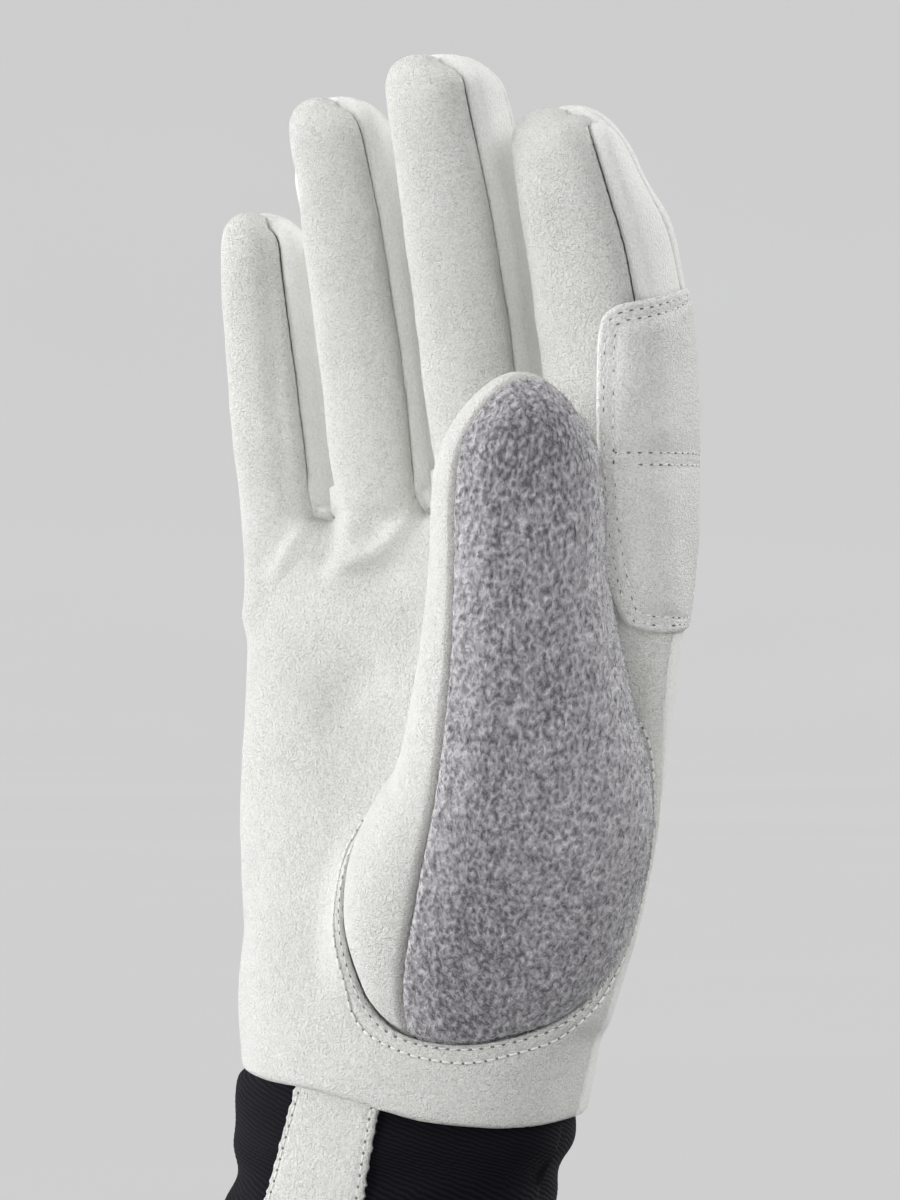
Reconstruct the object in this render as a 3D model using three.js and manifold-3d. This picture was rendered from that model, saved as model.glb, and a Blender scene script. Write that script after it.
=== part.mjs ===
// A right-hand cross-country ski glove in the shape that it has on a hand, in millimetres.
// +Z runs from the cuff to the fingertips, the palm faces -Y and the thumb is on the +X side.
// The origin is the centre of the cuff's opening, where the wrist comes out.
//
// The hand is a palm loft joined to four finger lofts, hollowed by the same lofts inset by the wall.
// Curved sheets as thick as a seam's gap then part that shell into the sewn panels.
import * as THREE from "three";
import { mergeVertices } from "three/addons/utils/BufferGeometryUtils.js";
import Module from "manifold-3d";

const wasm = await Module();
wasm.setup();

// Driving dimensions.
const WALL = 2; // suede or softshell with its lining
const GAP = 0.3; // between the two sides of a seam, and between layers
const CUFF_WALL = 1.6;
const PATCH_THICKNESS = 1.5;
const STRAP_THICKNESS = 1.4;
const SMALLEST_PANEL = 60; // cubic millimetres, less is a sliver where two seams meet

// Sections: centre x and y at height z, half width along X and half depth along Y.
const PALM = [
  { z: 38, x: 10, y: -1.6, wide: 32, deep: 24.2 },
  { z: 52, x: 11.5, y: -1.4, wide: 34, deep: 23.8 },
  { z: 66, x: 12.5, y: -1, wide: 36.5, deep: 22.8 },
  { z: 76, x: 14, y: -0.5, wide: 39, deep: 21.6 },
  { z: 86, x: 15.5, y: 0.2, wide: 41, deep: 20.3 },
  { z: 100, x: 17, y: 1, wide: 43, deep: 18.8 },
  { z: 114, x: 18, y: 1.6, wide: 44, deep: 17.4 },
  { z: 132, x: 19.5, y: 1.8, wide: 45, deep: 16 },
  { z: 148, x: 20.5, y: 1.4, wide: 46, deep: 13.6 },
  { z: 159, x: 20, y: 1, wide: 45.5, deep: 12.2 },
];
const CUFF = [
  { z: 0, x: 0, y: 0, wide: 32, deep: 24 },
  { z: 14, x: 2.5, y: 0, wide: 32, deep: 23.6 },
  { z: 27, x: 5, y: -0.2, wide: 32, deep: 23.2 },
  { z: 34.5, x: 7, y: -0.5, wide: 31, deep: 22.4 },
  { z: 41, x: 8.6, y: -0.8, wide: 33.6, deep: 21.6 },
  { z: 47, x: 9, y: -1, wide: 32.2, deep: 20.4 },
  { z: 52, x: 10.6, y: -1.3, wide: 30.6, deep: 19.8 },
  { z: 61, x: 12.2, y: -1.2, wide: 31.4, deep: 19 },
];

// The fingers from inside the palm to the tip. Ahead is how far the front seam lies from the
// centre line towards the palm on the thumb's side, as a share of the half depth.
const FINGERS = {
  little: [
    { z: 126, x: -14.5, y: 2.5, wide: 8, deep: 10.4, ahead: 0.5 },
    { z: 142, x: -16, y: 2.3, wide: 9.3, deep: 10.8, ahead: 0.5 },
    { z: 158, x: -17, y: 2, wide: 9.5, deep: 10.6, ahead: 0.52 },
    { z: 176, x: -18.5, y: 0.8, wide: 9.2, deep: 10.2, ahead: 0.58 },
    { z: 196, x: -18.6, y: -2.2, wide: 9, deep: 9.6, ahead: 0.7 },
    { z: 207, x: -18.6, y: -3.9, wide: 8.7, deep: 9.2, ahead: 0.75 },
    { z: 215.5, x: -18.5, y: -4.7, wide: 8.4, deep: 8.8, ahead: 0.78 },
  ],
  ring: [
    { z: 126, x: 9, y: 1.8, wide: 9.6, deep: 11.4, ahead: 0.45 },
    { z: 142, x: 8, y: 1.6, wide: 10.4, deep: 12, ahead: 0.45 },
    { z: 158, x: 5.8, y: 1, wide: 10.4, deep: 11.6, ahead: 0.45 },
    { z: 184, x: 3.7, y: -1.8, wide: 10.2, deep: 11, ahead: 0.45 },
    { z: 208, x: 3.1, y: -7, wide: 10, deep: 10.6, ahead: 0.47 },
    { z: 225, x: 2, y: -10.2, wide: 9.8, deep: 10.2, ahead: 0.55 },
    { z: 236.8, x: 1, y: -11.9, wide: 9.4, deep: 9.8, ahead: 0.64 },
  ],
  middle: [
    { z: 126, x: 31.5, y: 1.6, wide: 10.4, deep: 11.8, ahead: 0.5 },
    { z: 142, x: 31, y: 1, wide: 11, deep: 12.4, ahead: 0.5 },
    { z: 160, x: 29, y: 0.2, wide: 11, deep: 12, ahead: 0.5 },
    { z: 188, x: 27, y: -3, wide: 11, deep: 11.6, ahead: 0.5 },
    { z: 214, x: 26.7, y: -9, wide: 11, deep: 11.5, ahead: 0.5 },
    { z: 231, x: 25.9, y: -12.8, wide: 10.8, deep: 11.2, ahead: 0.6 },
    { z: 243.7, x: 25, y: -14.6, wide: 10.5, deep: 10.8, ahead: 0.66 },
  ],
  index: [
    { z: 126, x: 51.5, y: 2, wide: 10, deep: 12.2, ahead: 0.6 },
    { z: 142, x: 53, y: 2, wide: 12, deep: 13.4, ahead: 0.6 },
    { z: 158, x: 54, y: 1.8, wide: 12.8, deep: 13.6, ahead: 0.6 },
    { z: 180, x: 53.8, y: 0.8, wide: 13.2, deep: 13.6, ahead: 0.62 },
    { z: 204, x: 53.6, y: -3.9, wide: 13.2, deep: 13, ahead: 0.7 },
    { z: 219, x: 51.6, y: -8.8, wide: 11.8, deep: 11.8, ahead: 0.67 },
    { z: 233.4, x: 49.4, y: -11.2, wide: 10.2, deep: 10.2, ahead: 0.66 },
  ],
};

// Where the seams run along a side, as shares of the half depth from the centre line: the back
// seam behind it and the front seam ahead of it. The palm's thumb side has a table of its own.
const BEHIND = { inner: 0.5, index: 0.36, little: 0.55 };
const THUMB_SIDE = [
  { z: 50, behind: 0.02 },
  { z: 77, behind: 0.15 },
  { z: 104, behind: 0.18 },
  { z: 121, behind: -0.02 },
  { z: 143, behind: -0.1 },
];
const AHEAD_LEFT = 0.5; // the front seam on a finger's other side
// On a finger's left side the two seams draw together between two distances below the tip, and
// meet at a share of the half depth behind the centre line. On its right side they stay apart, so
// the strip there runs over the tip and ends in the notch where the left seams meet.
const SEAM_MEETS = { from: 18, to: 7, behind: 0.15 };

// Heights at which the seams change.
const CROTCHES = 150; // the front seam starts just under the crotches between the fingers
const LEAVES_PALM = { from: 128, to: 158 }; // the back seam passes from the palm's sides to the fingers'
const LEAVES_BACK = { from: CROTCHES, to: 178 }; // the index's two outer seams draw apart
const SEAM_ROWS = [30, ...THUMB_SIDE.map((r) => r.z), LEAVES_PALM.from, CROTCHES, LEAVES_PALM.to, 168, 182];
const SEAM_TOP = 254; // above every fingertip
const SEAM_LEVEL = { out: 0.1, in: 3.4 }; // a seam is level this far outside and inside a finger's side
const BEYOND = { left: -60, right: 95, front: -50, back: 50, under: -20 }; // clear of the hand

// The thumb, from the foot of its bulb in the palm to its tip. Turn is the section's angle from
// the palm's width in degrees. Left and right are where the fleece's seam runs, as shares of the
// half depth towards the palm's front.
const THUMB = [
  { z: 56, x: 25.4, y: -9, wide: 13.4, deep: 10, turn: 20, left: 1.4, right: -0.2 },
  { z: 70, x: 27.6, y: -11, wide: 21.6, deep: 15, turn: 20, left: 1.48, right: -0.2 },
  { z: 86, x: 33.8, y: -14, wide: 26.3, deep: 18, turn: 22, left: 1.5, right: -0.2 },
  { z: 104, x: 43.5, y: -18.5, wide: 24.5, deep: 18, turn: 25, left: 1.15, right: -0.2 },
  { z: 124, x: 47.5, y: -25, wide: 20, deep: 16.5, turn: 28, left: 1.02, right: -0.2 },
  { z: 146, x: 49.4, y: -29.8, wide: 16.2, deep: 14.6, turn: 30, left: 0.9, right: -0.15 },
  { z: 166, x: 51.1, y: -32.5, wide: 15, deep: 13.4, turn: 30, left: 0.85, right: -0.15 },
  { z: 183.4, x: 53.1, y: -34.4, wide: 10.6, deep: 11, turn: 30, left: 0.8, right: -0.1 },
];

// How an end closes: the lengths over which the width and the depth shrink, and the curve's power.
const OPEN = { wide: 0, deep: 0, power: 2 };
const FINGER_END = { wide: 6.4, deep: 8.5, power: 2.5 };
const PALM_END = { wide: 4, deep: 5, power: 2 };
const THUMB_END = { wide: 18, deep: 13, power: 2.1 };
const THUMB_FOOT = { wide: 13, deep: 10, power: 2 };
const END_STEPS = [0.6, 0.32, 0.12, 0.03]; // stations of a closing end, as shares of its length
const INSIDE_END_STEPS = [0.4, 0.08];

// The hem's plane, square to the forearm: its height at x and y, and its slopes.
const HEM = { z: 50.3, x: 10, y: 0, slopeX: -0.148, slopeY: 0.11 };

// The overlay round the index finger: its outline at heights z, and how much of the finger's
// depth it covers, both as they are seen from VIEW.
const VIEW = 30; // degrees from the palm's normal towards the thumb
const PATCH_REACH = { from: 22, to: 90 };
const PATCH = [
  { across: 43, z: 191 },
  { across: 44, z: 194.5 },
  { across: 46.6, z: 196.3 },
  { across: 52, z: 197.2 },
  { across: 57, z: 198.8 },
  { across: 60.4, z: 200 },
  { across: 61.8, z: 197 },
  { across: 65, z: 188 },
  { across: 70, z: 184 },
  { across: 70, z: 152 },
  { across: 63.5, z: 147 },
  { across: 60, z: 136.6 },
  { across: 56, z: 135.8 },
  { across: 50.5, z: 136.5 },
  { across: 47.2, z: 138 },
  { across: 45.4, z: 144 },
  { across: 43.6, z: 156 },
  { across: 42.8, z: 176 },
];

// The strap on the cuff's front: its two edges, and how far ahead of the cuff's middle it lies.
const STRAP_REACH = { from: 8, to: 60 };
const STRAP = [
  { z: 4, left: -13, right: 9 },
  { z: 29, left: -8.5, right: 13 },
  { z: 60, left: -0.5, right: 17.5 },
];

// Hollows of the palm's front: middle, how far they reach across and up, and their depth.
const HOLLOWS = [
  { x: -4, z: 128, wide: 13, high: 9, deep: 1.4 },
  { x: 9, z: 116, wide: 12, high: 12, deep: 1.6 },
  { x: 0, z: 76, wide: 10, high: 12, deep: 0.8 },
];

function solidOf(geometry) {
  const bare = new THREE.BufferGeometry();
  bare.setAttribute("position", geometry.getAttribute("position"));
  bare.setIndex(geometry.index);
  const merged = mergeVertices(bare, 1e-4);
  return new wasm.Manifold(
    new wasm.Mesh({
      numProp: 3,
      vertProperties: new Float32Array(merged.getAttribute("position").array),
      triVerts: new Uint32Array(merged.index.array),
    }),
  );
}

function geometryOf(solid) {
  const mesh = solid.getMesh();
  const geometry = new THREE.BufferGeometry();
  const points = [];
  for (let i = 0; i < mesh.numVert; i++)
    points.push(...mesh.vertProperties.subarray(i * mesh.numProp, i * mesh.numProp + 3));
  geometry.setAttribute("position", new THREE.Float32BufferAttribute(points, 3));
  geometry.setIndex([...mesh.triVerts]);
  geometry.computeVertexNormals();
  return geometry;
}

function solidThrough(points, faces) {
  const geometry = new THREE.BufferGeometry();
  geometry.setAttribute("position", new THREE.Float32BufferAttribute(points.flatMap((p) => p.toArray()), 3));
  geometry.setIndex(faces);
  const solid = solidOf(geometry);
  if (solid.volume() > 0) return solid;
  geometry.setIndex([...faces].reverse());
  return solidOf(geometry);
}

// A closed solid through rings of points, each ring with the same number of them.
function skin(rings) {
  const count = rings[0].length;
  const points = rings.flat();
  const faces = [];
  for (let i = 0; i + 1 < rings.length; i++)
    for (let j = 0; j < count; j++) {
      const a = i * count + j;
      const b = i * count + ((j + 1) % count);
      faces.push(a, b, b + count, a, b + count, a + count);
    }
  const cap = (first, flip) => {
    const middle = new THREE.Vector3();
    for (let j = 0; j < count; j++) middle.addScaledVector(points[first + j], 1 / count);
    const centre = points.push(middle) - 1;
    for (let j = 0; j < count; j++) {
      const a = first + j;
      const b = first + ((j + 1) % count);
      faces.push(...(flip ? [b, a, centre] : [a, b, centre]));
    }
  };
  cap(0, true);
  cap((rings.length - 1) * count, false);
  return solidThrough(points, faces);
}

// A curved sheet with some thickness: grid is rows of points, and half is half of that thickness.
function sheet(grid, half) {
  const rows = grid.length;
  const columns = grid[0].length;
  const at = (side, i, j) => side * rows * columns + i * columns + j;
  const points = [...grid.flat().map((p) => p.clone().sub(half)), ...grid.flat().map((p) => p.clone().add(half))];
  const faces = [];
  const quad = (a, b, c, d) => faces.push(a, b, c, a, c, d);
  for (let i = 0; i + 1 < rows; i++)
    for (let j = 0; j + 1 < columns; j++) {
      quad(at(0, i, j), at(0, i, j + 1), at(0, i + 1, j + 1), at(0, i + 1, j));
      quad(at(1, i, j), at(1, i + 1, j), at(1, i + 1, j + 1), at(1, i, j + 1));
    }
  for (let j = 0; j + 1 < columns; j++) {
    quad(at(0, 0, j), at(1, 0, j), at(1, 0, j + 1), at(0, 0, j + 1));
    quad(at(0, rows - 1, j), at(0, rows - 1, j + 1), at(1, rows - 1, j + 1), at(1, rows - 1, j));
  }
  for (let i = 0; i + 1 < rows; i++) {
    quad(at(0, i, 0), at(0, i + 1, 0), at(1, i + 1, 0), at(1, i, 0));
    quad(at(0, i, columns - 1), at(1, i, columns - 1), at(1, i + 1, columns - 1), at(0, i + 1, columns - 1));
  }
  return solidThrough(points, faces);
}

// A straight prism from an outline, between two distances along a direction.
function prism(outline, direction, { from, to }) {
  const ring = (distance) => outline.map((p) => p.clone().addScaledVector(direction, distance));
  return skin([ring(from), ring(to)]);
}

const lerp = THREE.MathUtils.lerp;
const smooth = THREE.MathUtils.smoothstep;
const Z_AXIS = new THREE.Vector3(0, 0, 1);

// The section of a table at height z, between its rows.
function sectionAt(rows, z) {
  const last = rows.length - 2;
  const i = Math.min(Math.max(rows.findIndex((r) => r.z > z) - 1, 0), last);
  const index = z >= rows[rows.length - 1].z ? last : i;
  const t = THREE.MathUtils.clamp((z - rows[index].z) / (rows[index + 1].z - rows[index].z), 0, 1);
  return Object.fromEntries(Object.keys(rows[0]).map((k) => [k, lerp(rows[index][k], rows[index + 1][k], t)]));
}

// The share of its full size that a closing end has at a distance from its tip.
const closing = (left, length, power) =>
  left >= length ? 1 : (1 - (1 - Math.max(left, 0) / length) ** power) ** (1 / power);
const closes = (end) => end.wide > 0;
const reachOf = (end, grow) => (closes(end) ? Math.max(end.wide, end.deep) + grow : 0);

// Where a loft has its rings, as distances along its centre line: evenly between the closing ends,
// and closer and closer towards each tip.
function stationsOf(start, end, count, grow, foot, head) {
  const steps = grow < 0 ? INSIDE_END_STEPS : END_STEPS;
  const first = start + reachOf(foot, grow);
  const last = end - reachOf(head, grow);
  const evenly = Array.from({ length: count + 1 }, (_, i) => lerp(first, last, i / count));
  const footSteps = closes(foot) ? [...steps].reverse().map((s) => start + reachOf(foot, grow) * s) : [];
  const headSteps = closes(head) ? steps.map((s) => end - reachOf(head, grow) * s) : [];
  return [...footSteps, ...evenly, ...headSteps];
}

// A loft of rounded-box sections square to the centre line. Grow moves its surface out, or in where
// it is negative. Head and foot say how the two ends close.
function loft(rows, { grow = 0, sides = 16, power = 2.6, head = OPEN, foot = OPEN, moved = (p) => p }) {
  const curve = (f) => new THREE.CatmullRomCurve3(rows.map(f), false, "catmullrom", 0.5);
  const centre = curve((r) => new THREE.Vector3(r.x, r.y, r.z));
  const size = curve((r) => new THREE.Vector3(r.wide, r.deep, r.turn ?? 0));
  const length = centre.getLength();
  const start = closes(foot) ? -grow : 0;
  const end = closes(head) ? length + grow : length;
  const share = (s, side) =>
    (closes(head) ? closing(end - s, head[side] + grow, head.power) : 1) *
    (closes(foot) ? closing(s - start, foot[side] + grow, foot.power) : 1);
  const bent = (v) => Math.sign(v) * Math.abs(v) ** (2 / power);
  const ringAt = (s) => {
    const u = THREE.MathUtils.clamp(s / length, 0, 1);
    const t = centre.getUtoTmapping(u);
    const along = closes(head) || closes(foot) ? centre.getTangent(t) : Z_AXIS.clone();
    const at = centre.getPoint(t).addScaledVector(along, s - u * length);
    const [wide, deep, turn] = size.getPoint(t).toArray();
    const across = new THREE.Vector3(1, 0, 0).applyAxisAngle(Z_AXIS, THREE.MathUtils.degToRad(turn));
    across.addScaledVector(along, -across.dot(along)).normalize();
    const front = new THREE.Vector3().crossVectors(across, along);
    const halfWidth = (wide + grow) * share(s, "wide");
    const halfDepth = (deep + grow) * share(s, "deep");
    return Array.from({ length: sides }, (_, j) => {
      const angle = (-2 * Math.PI * (j + 0.5)) / sides;
      const point = at.clone().addScaledVector(across, halfWidth * bent(Math.cos(angle)));
      return moved(point.addScaledVector(front, halfDepth * bent(Math.sin(angle))));
    });
  };
  return skin(stationsOf(start, end, rows.length - 1, grow, foot, head).map(ringAt));
}

// A point of the palm's front, pressed in by the hollows.
function hollowed(p) {
  if (p.y > 0) return p;
  for (const h of HOLLOWS) {
    const far = ((p.x - h.x) / h.wide) ** 2 + ((p.z - h.z) / h.high) ** 2;
    p.y += h.deep * Math.exp(-far);
  }
  return p;
}

const union = (solids) => solids.reduce((a, b) => a.add(b));
const sidesOf = (grow, outside, inside) => (grow < 0 ? inside : outside);
const fingerLoft = (name, grow) =>
  loft(FINGERS[name], { grow, sides: sidesOf(grow, 12, 8), head: FINGER_END });
const palmLoft = (grow) =>
  loft(PALM, { grow, sides: sidesOf(grow, 28, 18), power: 2.4, head: PALM_END, moved: hollowed });
const thumbLoft = (grow) =>
  loft(THUMB, { grow, sides: sidesOf(grow, 18, 12), power: 2.3, head: THUMB_END, foot: THUMB_FOOT });
const cuffLoft = (grow) => loft(CUFF, { grow, sides: sidesOf(grow, 28, 20), power: 2.4 });
const handSolid = (grow) =>
  union([palmLoft(grow), ...Object.keys(FINGERS).map((name) => fingerLoft(name, grow))]);

// Everything under the hem's plane, or under a plane that is lower than it by some distance.
function underHem(lower = 0) {
  const at = (x, y) => HEM.z - lower + HEM.slopeX * (x - HEM.x) + HEM.slopeY * (y - HEM.y);
  const { left, right, front, back, under } = BEYOND;
  const corners = [[left, front], [right, front], [right, back], [left, back]];
  return skin([
    corners.map(([x, y]) => new THREE.Vector3(x, y, under)),
    corners.map(([x, y]) => new THREE.Vector3(x, y, at(x, y))),
  ]);
}

// How far apart the seams on a finger's left side still are at height z.
function apart(rows, z) {
  const top = rows[rows.length - 1].z;
  return 1 - smooth(z, top - SEAM_MEETS.from, top - SEAM_MEETS.to);
}

// The back seam at height z, on the left and right side of each finger.
function backSeamAt(z) {
  const palm = sectionAt(PALM, Math.min(z, CROTCHES));
  const names = Object.keys(FINGERS);
  const thumbSide = sectionAt(THUMB_SIDE, z).behind;
  const onPalm = (i) => palm.y + palm.deep * lerp(BEHIND.little, thumbSide, i / names.length);
  const leaves = smooth(z, LEAVES_PALM.from, LEAVES_PALM.to);
  return names.map((name, i) => {
    const section = sectionAt(FINGERS[name], z);
    const onFinger = (share) => section.y + section.deep * share;
    const left = name === "little" ? BEHIND.little : BEHIND.inner;
    const right = name === "index" ? BEHIND.index : BEHIND.inner;
    const leftHere = lerp(SEAM_MEETS.behind, left, apart(FINGERS[name], z));
    return {
      section,
      left: lerp(onPalm(i), onFinger(leftHere), leaves),
      right: lerp(onPalm(i + 1), onFinger(right), leaves),
    };
  });
}

// The front seam at height z, which parts the palm from the strips between the fingers. Its left
// end in the little finger is on the back seam.
function frontSeamAt(z) {
  const back = backSeamAt(z);
  return Object.keys(FINGERS).map((name, i) => {
    const { section } = back[i];
    const leftHere = lerp(SEAM_MEETS.behind, -AHEAD_LEFT, apart(FINGERS[name], z));
    const left = name === "little" ? (back[i].left + back[i].right) / 2 : section.y + section.deep * leftHere;
    const right = section.y - section.deep * section.ahead;
    if (name !== "index") return { section, left, right };
    const leaves = smooth(z, LEAVES_BACK.from, LEAVES_BACK.to);
    return { section, left, right: lerp(back[i].right, right, leaves) };
  });
}

// One row of a seam's sheet: level in Y across each finger's sides, and sloping between them.
function seamRow(seam, z, wholeWidth) {
  const row = seam.flatMap(({ section: s, left, right }) => [
    { x: s.x - s.wide - SEAM_LEVEL.out, y: left },
    { x: s.x - s.wide + SEAM_LEVEL.in, y: left },
    { x: s.x + s.wide - SEAM_LEVEL.in, y: right },
    { x: s.x + s.wide + SEAM_LEVEL.out, y: right },
  ]);
  const start = wholeWidth
    ? [{ x: BEYOND.left, y: seam[0].left }, ...row]
    : [{ x: seam[0].section.x, y: seam[0].left }, ...row.slice(2)];
  const kept = [...start, { x: BEYOND.right, y: row[row.length - 1].y }];
  for (let j = 1; j < kept.length; j++) kept[j].x = Math.max(kept[j].x, kept[j - 1].x + GAP);
  return kept.map(({ x, y }) => new THREE.Vector3(x, y, z));
}

// The sheet through a seam, with rows where the seam starts or ends a bend. The front seam's
// starts in the little finger, because the palm runs round that finger's outer side.
function seamSheet(seamAt, from, wholeWidth) {
  const tops = Object.values(FINGERS).map((rows) => rows[rows.length - 1].z);
  const tips = tops.flatMap((top) => [top - SEAM_MEETS.from, top - SEAM_MEETS.to]);
  const heights = [...SEAM_ROWS, ...tips, SEAM_TOP].filter((z) => z >= from).sort((a, b) => a - b);
  const grid = heights.map((z) => seamRow(seamAt(z), z, wholeWidth));
  return sheet(grid, new THREE.Vector3(0, GAP / 2, 0));
}

// The separate panels of a shell, lowest first by some measure of their boxes.
function panelsOf(shell, measure) {
  const kept = shell.decompose().filter((s) => s.volume() > SMALLEST_PANEL);
  return kept.sort((a, b) => measure(a.boundingBox()) - measure(b.boundingBox()));
}
const leftEnd = (box) => box.min[0];
const frontEnd = (box) => box.min[1];

// The palm, the back, and the strips on the fingers' sides from the little finger to the index.
function handPanels() {
  const shell = handSolid(0)
    .subtract(handSolid(-WALL))
    .subtract(underHem())
    .subtract(thumbLoft(GAP))
    .subtract(seamSheet(backSeamAt, SEAM_ROWS[0], true))
    .subtract(seamSheet(frontSeamAt, CROTCHES, false));
  const isStrip = (s) => s.boundingBox().min[2] > HEM.z * 2;
  const strips = panelsOf(shell, leftEnd).filter(isStrip);
  const faces = panelsOf(shell, frontEnd).filter((s) => !isStrip(s));
  return [...faces, ...strips];
}

// The thumb's sheet lies across it, from the fleece's seam to its far side.
function thumbSheet() {
  const overshoot = 2; // half widths to each side, clear of the thumb
  const below = { ...THUMB[0], z: THUMB[0].z - 20 };
  const above = { ...THUMB[THUMB.length - 1], z: 200 };
  const grid = [below, ...THUMB, above].map((r) => {
    const turn = THREE.MathUtils.degToRad(r.turn);
    const across = new THREE.Vector3(Math.cos(turn), Math.sin(turn), 0);
    const front = new THREE.Vector3(Math.sin(turn), -Math.cos(turn), 0);
    return [-overshoot, overshoot].map((side) => {
      const ahead = (r.right + r.left) / 2 + ((r.right - r.left) / 2) * side;
      const point = new THREE.Vector3(r.x, r.y, r.z).addScaledVector(across, side * r.wide);
      return point.addScaledVector(front, ahead * r.deep);
    });
  });
  return sheet(grid, new THREE.Vector3(0, GAP / 2, 0));
}

// The thumb's fleece front, then its suede.
function thumbPanels() {
  const shell = thumbLoft(0).subtract(thumbLoft(-WALL)).subtract(handSolid(GAP));
  return panelsOf(shell.subtract(thumbSheet()), frontEnd);
}

// The overlay that lies round the front and outer side of the index finger.
function indexPatch() {
  const turn = THREE.MathUtils.degToRad(VIEW);
  const towards = new THREE.Vector3(Math.sin(turn), -Math.cos(turn), 0);
  const across = new THREE.Vector3(Math.cos(turn), Math.sin(turn), 0);
  const outline = PATCH.map((p) => across.clone().multiplyScalar(p.across).setZ(p.z));
  return handSolid(GAP + PATCH_THICKNESS)
    .subtract(handSolid(GAP))
    .intersect(prism(outline, towards, PATCH_REACH))
    .subtract(thumbLoft(GAP));
}

const cuffTube = () => cuffLoft(0).subtract(cuffLoft(-CUFF_WALL));

// The strap lies on the cuff's front and passes under the palm's hem.
function pullStrap() {
  const rightEdge = STRAP.map((r) => new THREE.Vector3(r.right, 0, r.z));
  const leftEdge = STRAP.map((r) => new THREE.Vector3(r.left, 0, r.z)).reverse();
  const outline = [...rightEdge, ...leftEdge];
  const underPalm = handSolid(GAP).subtract(handSolid(-WALL - GAP)).subtract(underHem(GAP));
  return cuffLoft(GAP + STRAP_THICKNESS)
    .subtract(cuffLoft(GAP))
    .intersect(prism(outline, new THREE.Vector3(0, -1, 0), STRAP_REACH))
    .subtract(underPalm);
}

const SUEDE = { color: 0xdcddd8, roughness: 0.9 };
const SOFTSHELL = { color: 0xe9e9e7, roughness: 0.75 };
const FLEECE = { color: 0x96929a, roughness: 1 };
const KNIT = { color: 0x1b1b20, roughness: 0.85 };
const group = new THREE.Group();
function add(name, solid, look) {
  const mesh = new THREE.Mesh(geometryOf(solid), new THREE.MeshStandardMaterial({ ...look, metalness: 0 }));
  mesh.name = name;
  group.add(mesh);
}

const [palm, back, littleRing, ringMiddle, middleIndex, indexSide] = handPanels();
add("palm", palm, SUEDE);
add("back", back, SOFTSHELL);
add("fourchette_little_ring", littleRing, SOFTSHELL);
add("fourchette_ring_middle", ringMiddle, SOFTSHELL);
add("fourchette_middle_index", middleIndex, SOFTSHELL);
add("index_side", indexSide, SOFTSHELL);
add("index_patch", indexPatch(), SUEDE);
const [thumbFleece, thumbPalm] = thumbPanels();
add("thumb_palm", thumbPalm, SUEDE);
add("thumb_fleece", thumbFleece, FLEECE);
add("cuff", cuffTube(), KNIT);
add("pull_strap", pullStrap(), SUEDE);
export default group;
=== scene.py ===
# The looks of a right-hand cross-country ski glove: suede palm, softshell back, fleece thumb
# panel, padded overlay on the index finger, knitted cuff and pull strap.
# Lengths are in millimetres up to the point where a mesh is made, and the axes are the frame's:
# +Z from the cuff to the fingertips, the palm faces -Y and the thumb is on the +X side.
import math

import bpy
import numpy as np
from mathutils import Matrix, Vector
from mathutils.bvhtree import BVHTree


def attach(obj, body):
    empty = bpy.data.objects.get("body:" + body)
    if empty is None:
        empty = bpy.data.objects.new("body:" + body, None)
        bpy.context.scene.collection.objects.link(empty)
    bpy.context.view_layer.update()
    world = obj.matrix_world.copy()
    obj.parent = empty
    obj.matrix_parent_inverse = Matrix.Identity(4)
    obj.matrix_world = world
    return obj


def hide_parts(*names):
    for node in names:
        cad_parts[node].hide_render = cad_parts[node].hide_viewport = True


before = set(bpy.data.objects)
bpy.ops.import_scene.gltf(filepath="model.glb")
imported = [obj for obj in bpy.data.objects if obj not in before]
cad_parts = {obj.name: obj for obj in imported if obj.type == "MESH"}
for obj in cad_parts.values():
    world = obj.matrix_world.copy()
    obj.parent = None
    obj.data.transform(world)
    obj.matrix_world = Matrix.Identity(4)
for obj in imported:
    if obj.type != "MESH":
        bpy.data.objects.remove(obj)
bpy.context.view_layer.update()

MM = 0.001


def table(columns, *rows):
    """A table as one array for each named column."""
    values = np.array(rows, float)
    return {name: values[:, i] for i, name in enumerate(columns.split())}


# Sizes of the cloth.
SEAM_GAP = 0.14
SUEDE_THICKNESS = 1.3
CLOTH_THICKNESS = 1.0
FLEECE_THICKNESS = 1.6
CUFF_THICKNESS = 1.5
STRAP_THICKNESS = 1.25
FLEECE_START = 0.3  # from the seam between the thumb's panels
OVERLAY_LIFT = 0.25  # under the index finger's overlay
OVERLAY_THICKNESS = 1.0
# Starts and ends are pairs of heights, over which something fades in and out again.
# The palm's edge laps over the thumb that comes through it, apart from a slit.
HOLE = {"overlap": 0.2, "slit": 0.35, "starts": (58, 63), "ends": (95.5, 98.5)}
# The thumb is tucked in under that edge, least above the slit.
TUCK = {"deep": 1.5, "least": 0.15, "wide": 0.5, "ends": (96.5, 101.5)}
FLEECE_TUCK = {"deep": 1.2, "wide": 0.6}
# On the left the palm rises towards the thumb round the hole.
HOLE_RISE = {"out": 4.4, "reach": 8, "starts": (60, 78), "ends": (92, 106), "left_of": (16, 26)}
HOLE_ROWS = (1.0, 3.3)  # stitch rows, from the hole's edge
# The suede frays beside the hole's edge, and is pinched along the stitch rows.
HOLE_FRAY = {"at": 0.5, "wide": 0.45, "high": 0.38, "uneven": 0.9, "size": 0.8}
HOLE_PINCH = {"wide": 0.5, "deep": 0.36, "uneven": 0.4}
HOLE_LINES = (1.5, 2.8, 3.8)  # more lines of corners, from the hole's edge
# Painted light and shade on the fleece: its colour is painted lighter at its sides and painted
# darker at its ends, faded in over these ranges: heights at the ends, and distances from the seam
# and to the right at the sides.
SHADE = {"top": (150, 176), "foot": (68, 108), "left": (3, 13), "right": (6, 15)}
SHADE_STEPS = {"ends": -0.6, "sides": 0.45}
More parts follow.
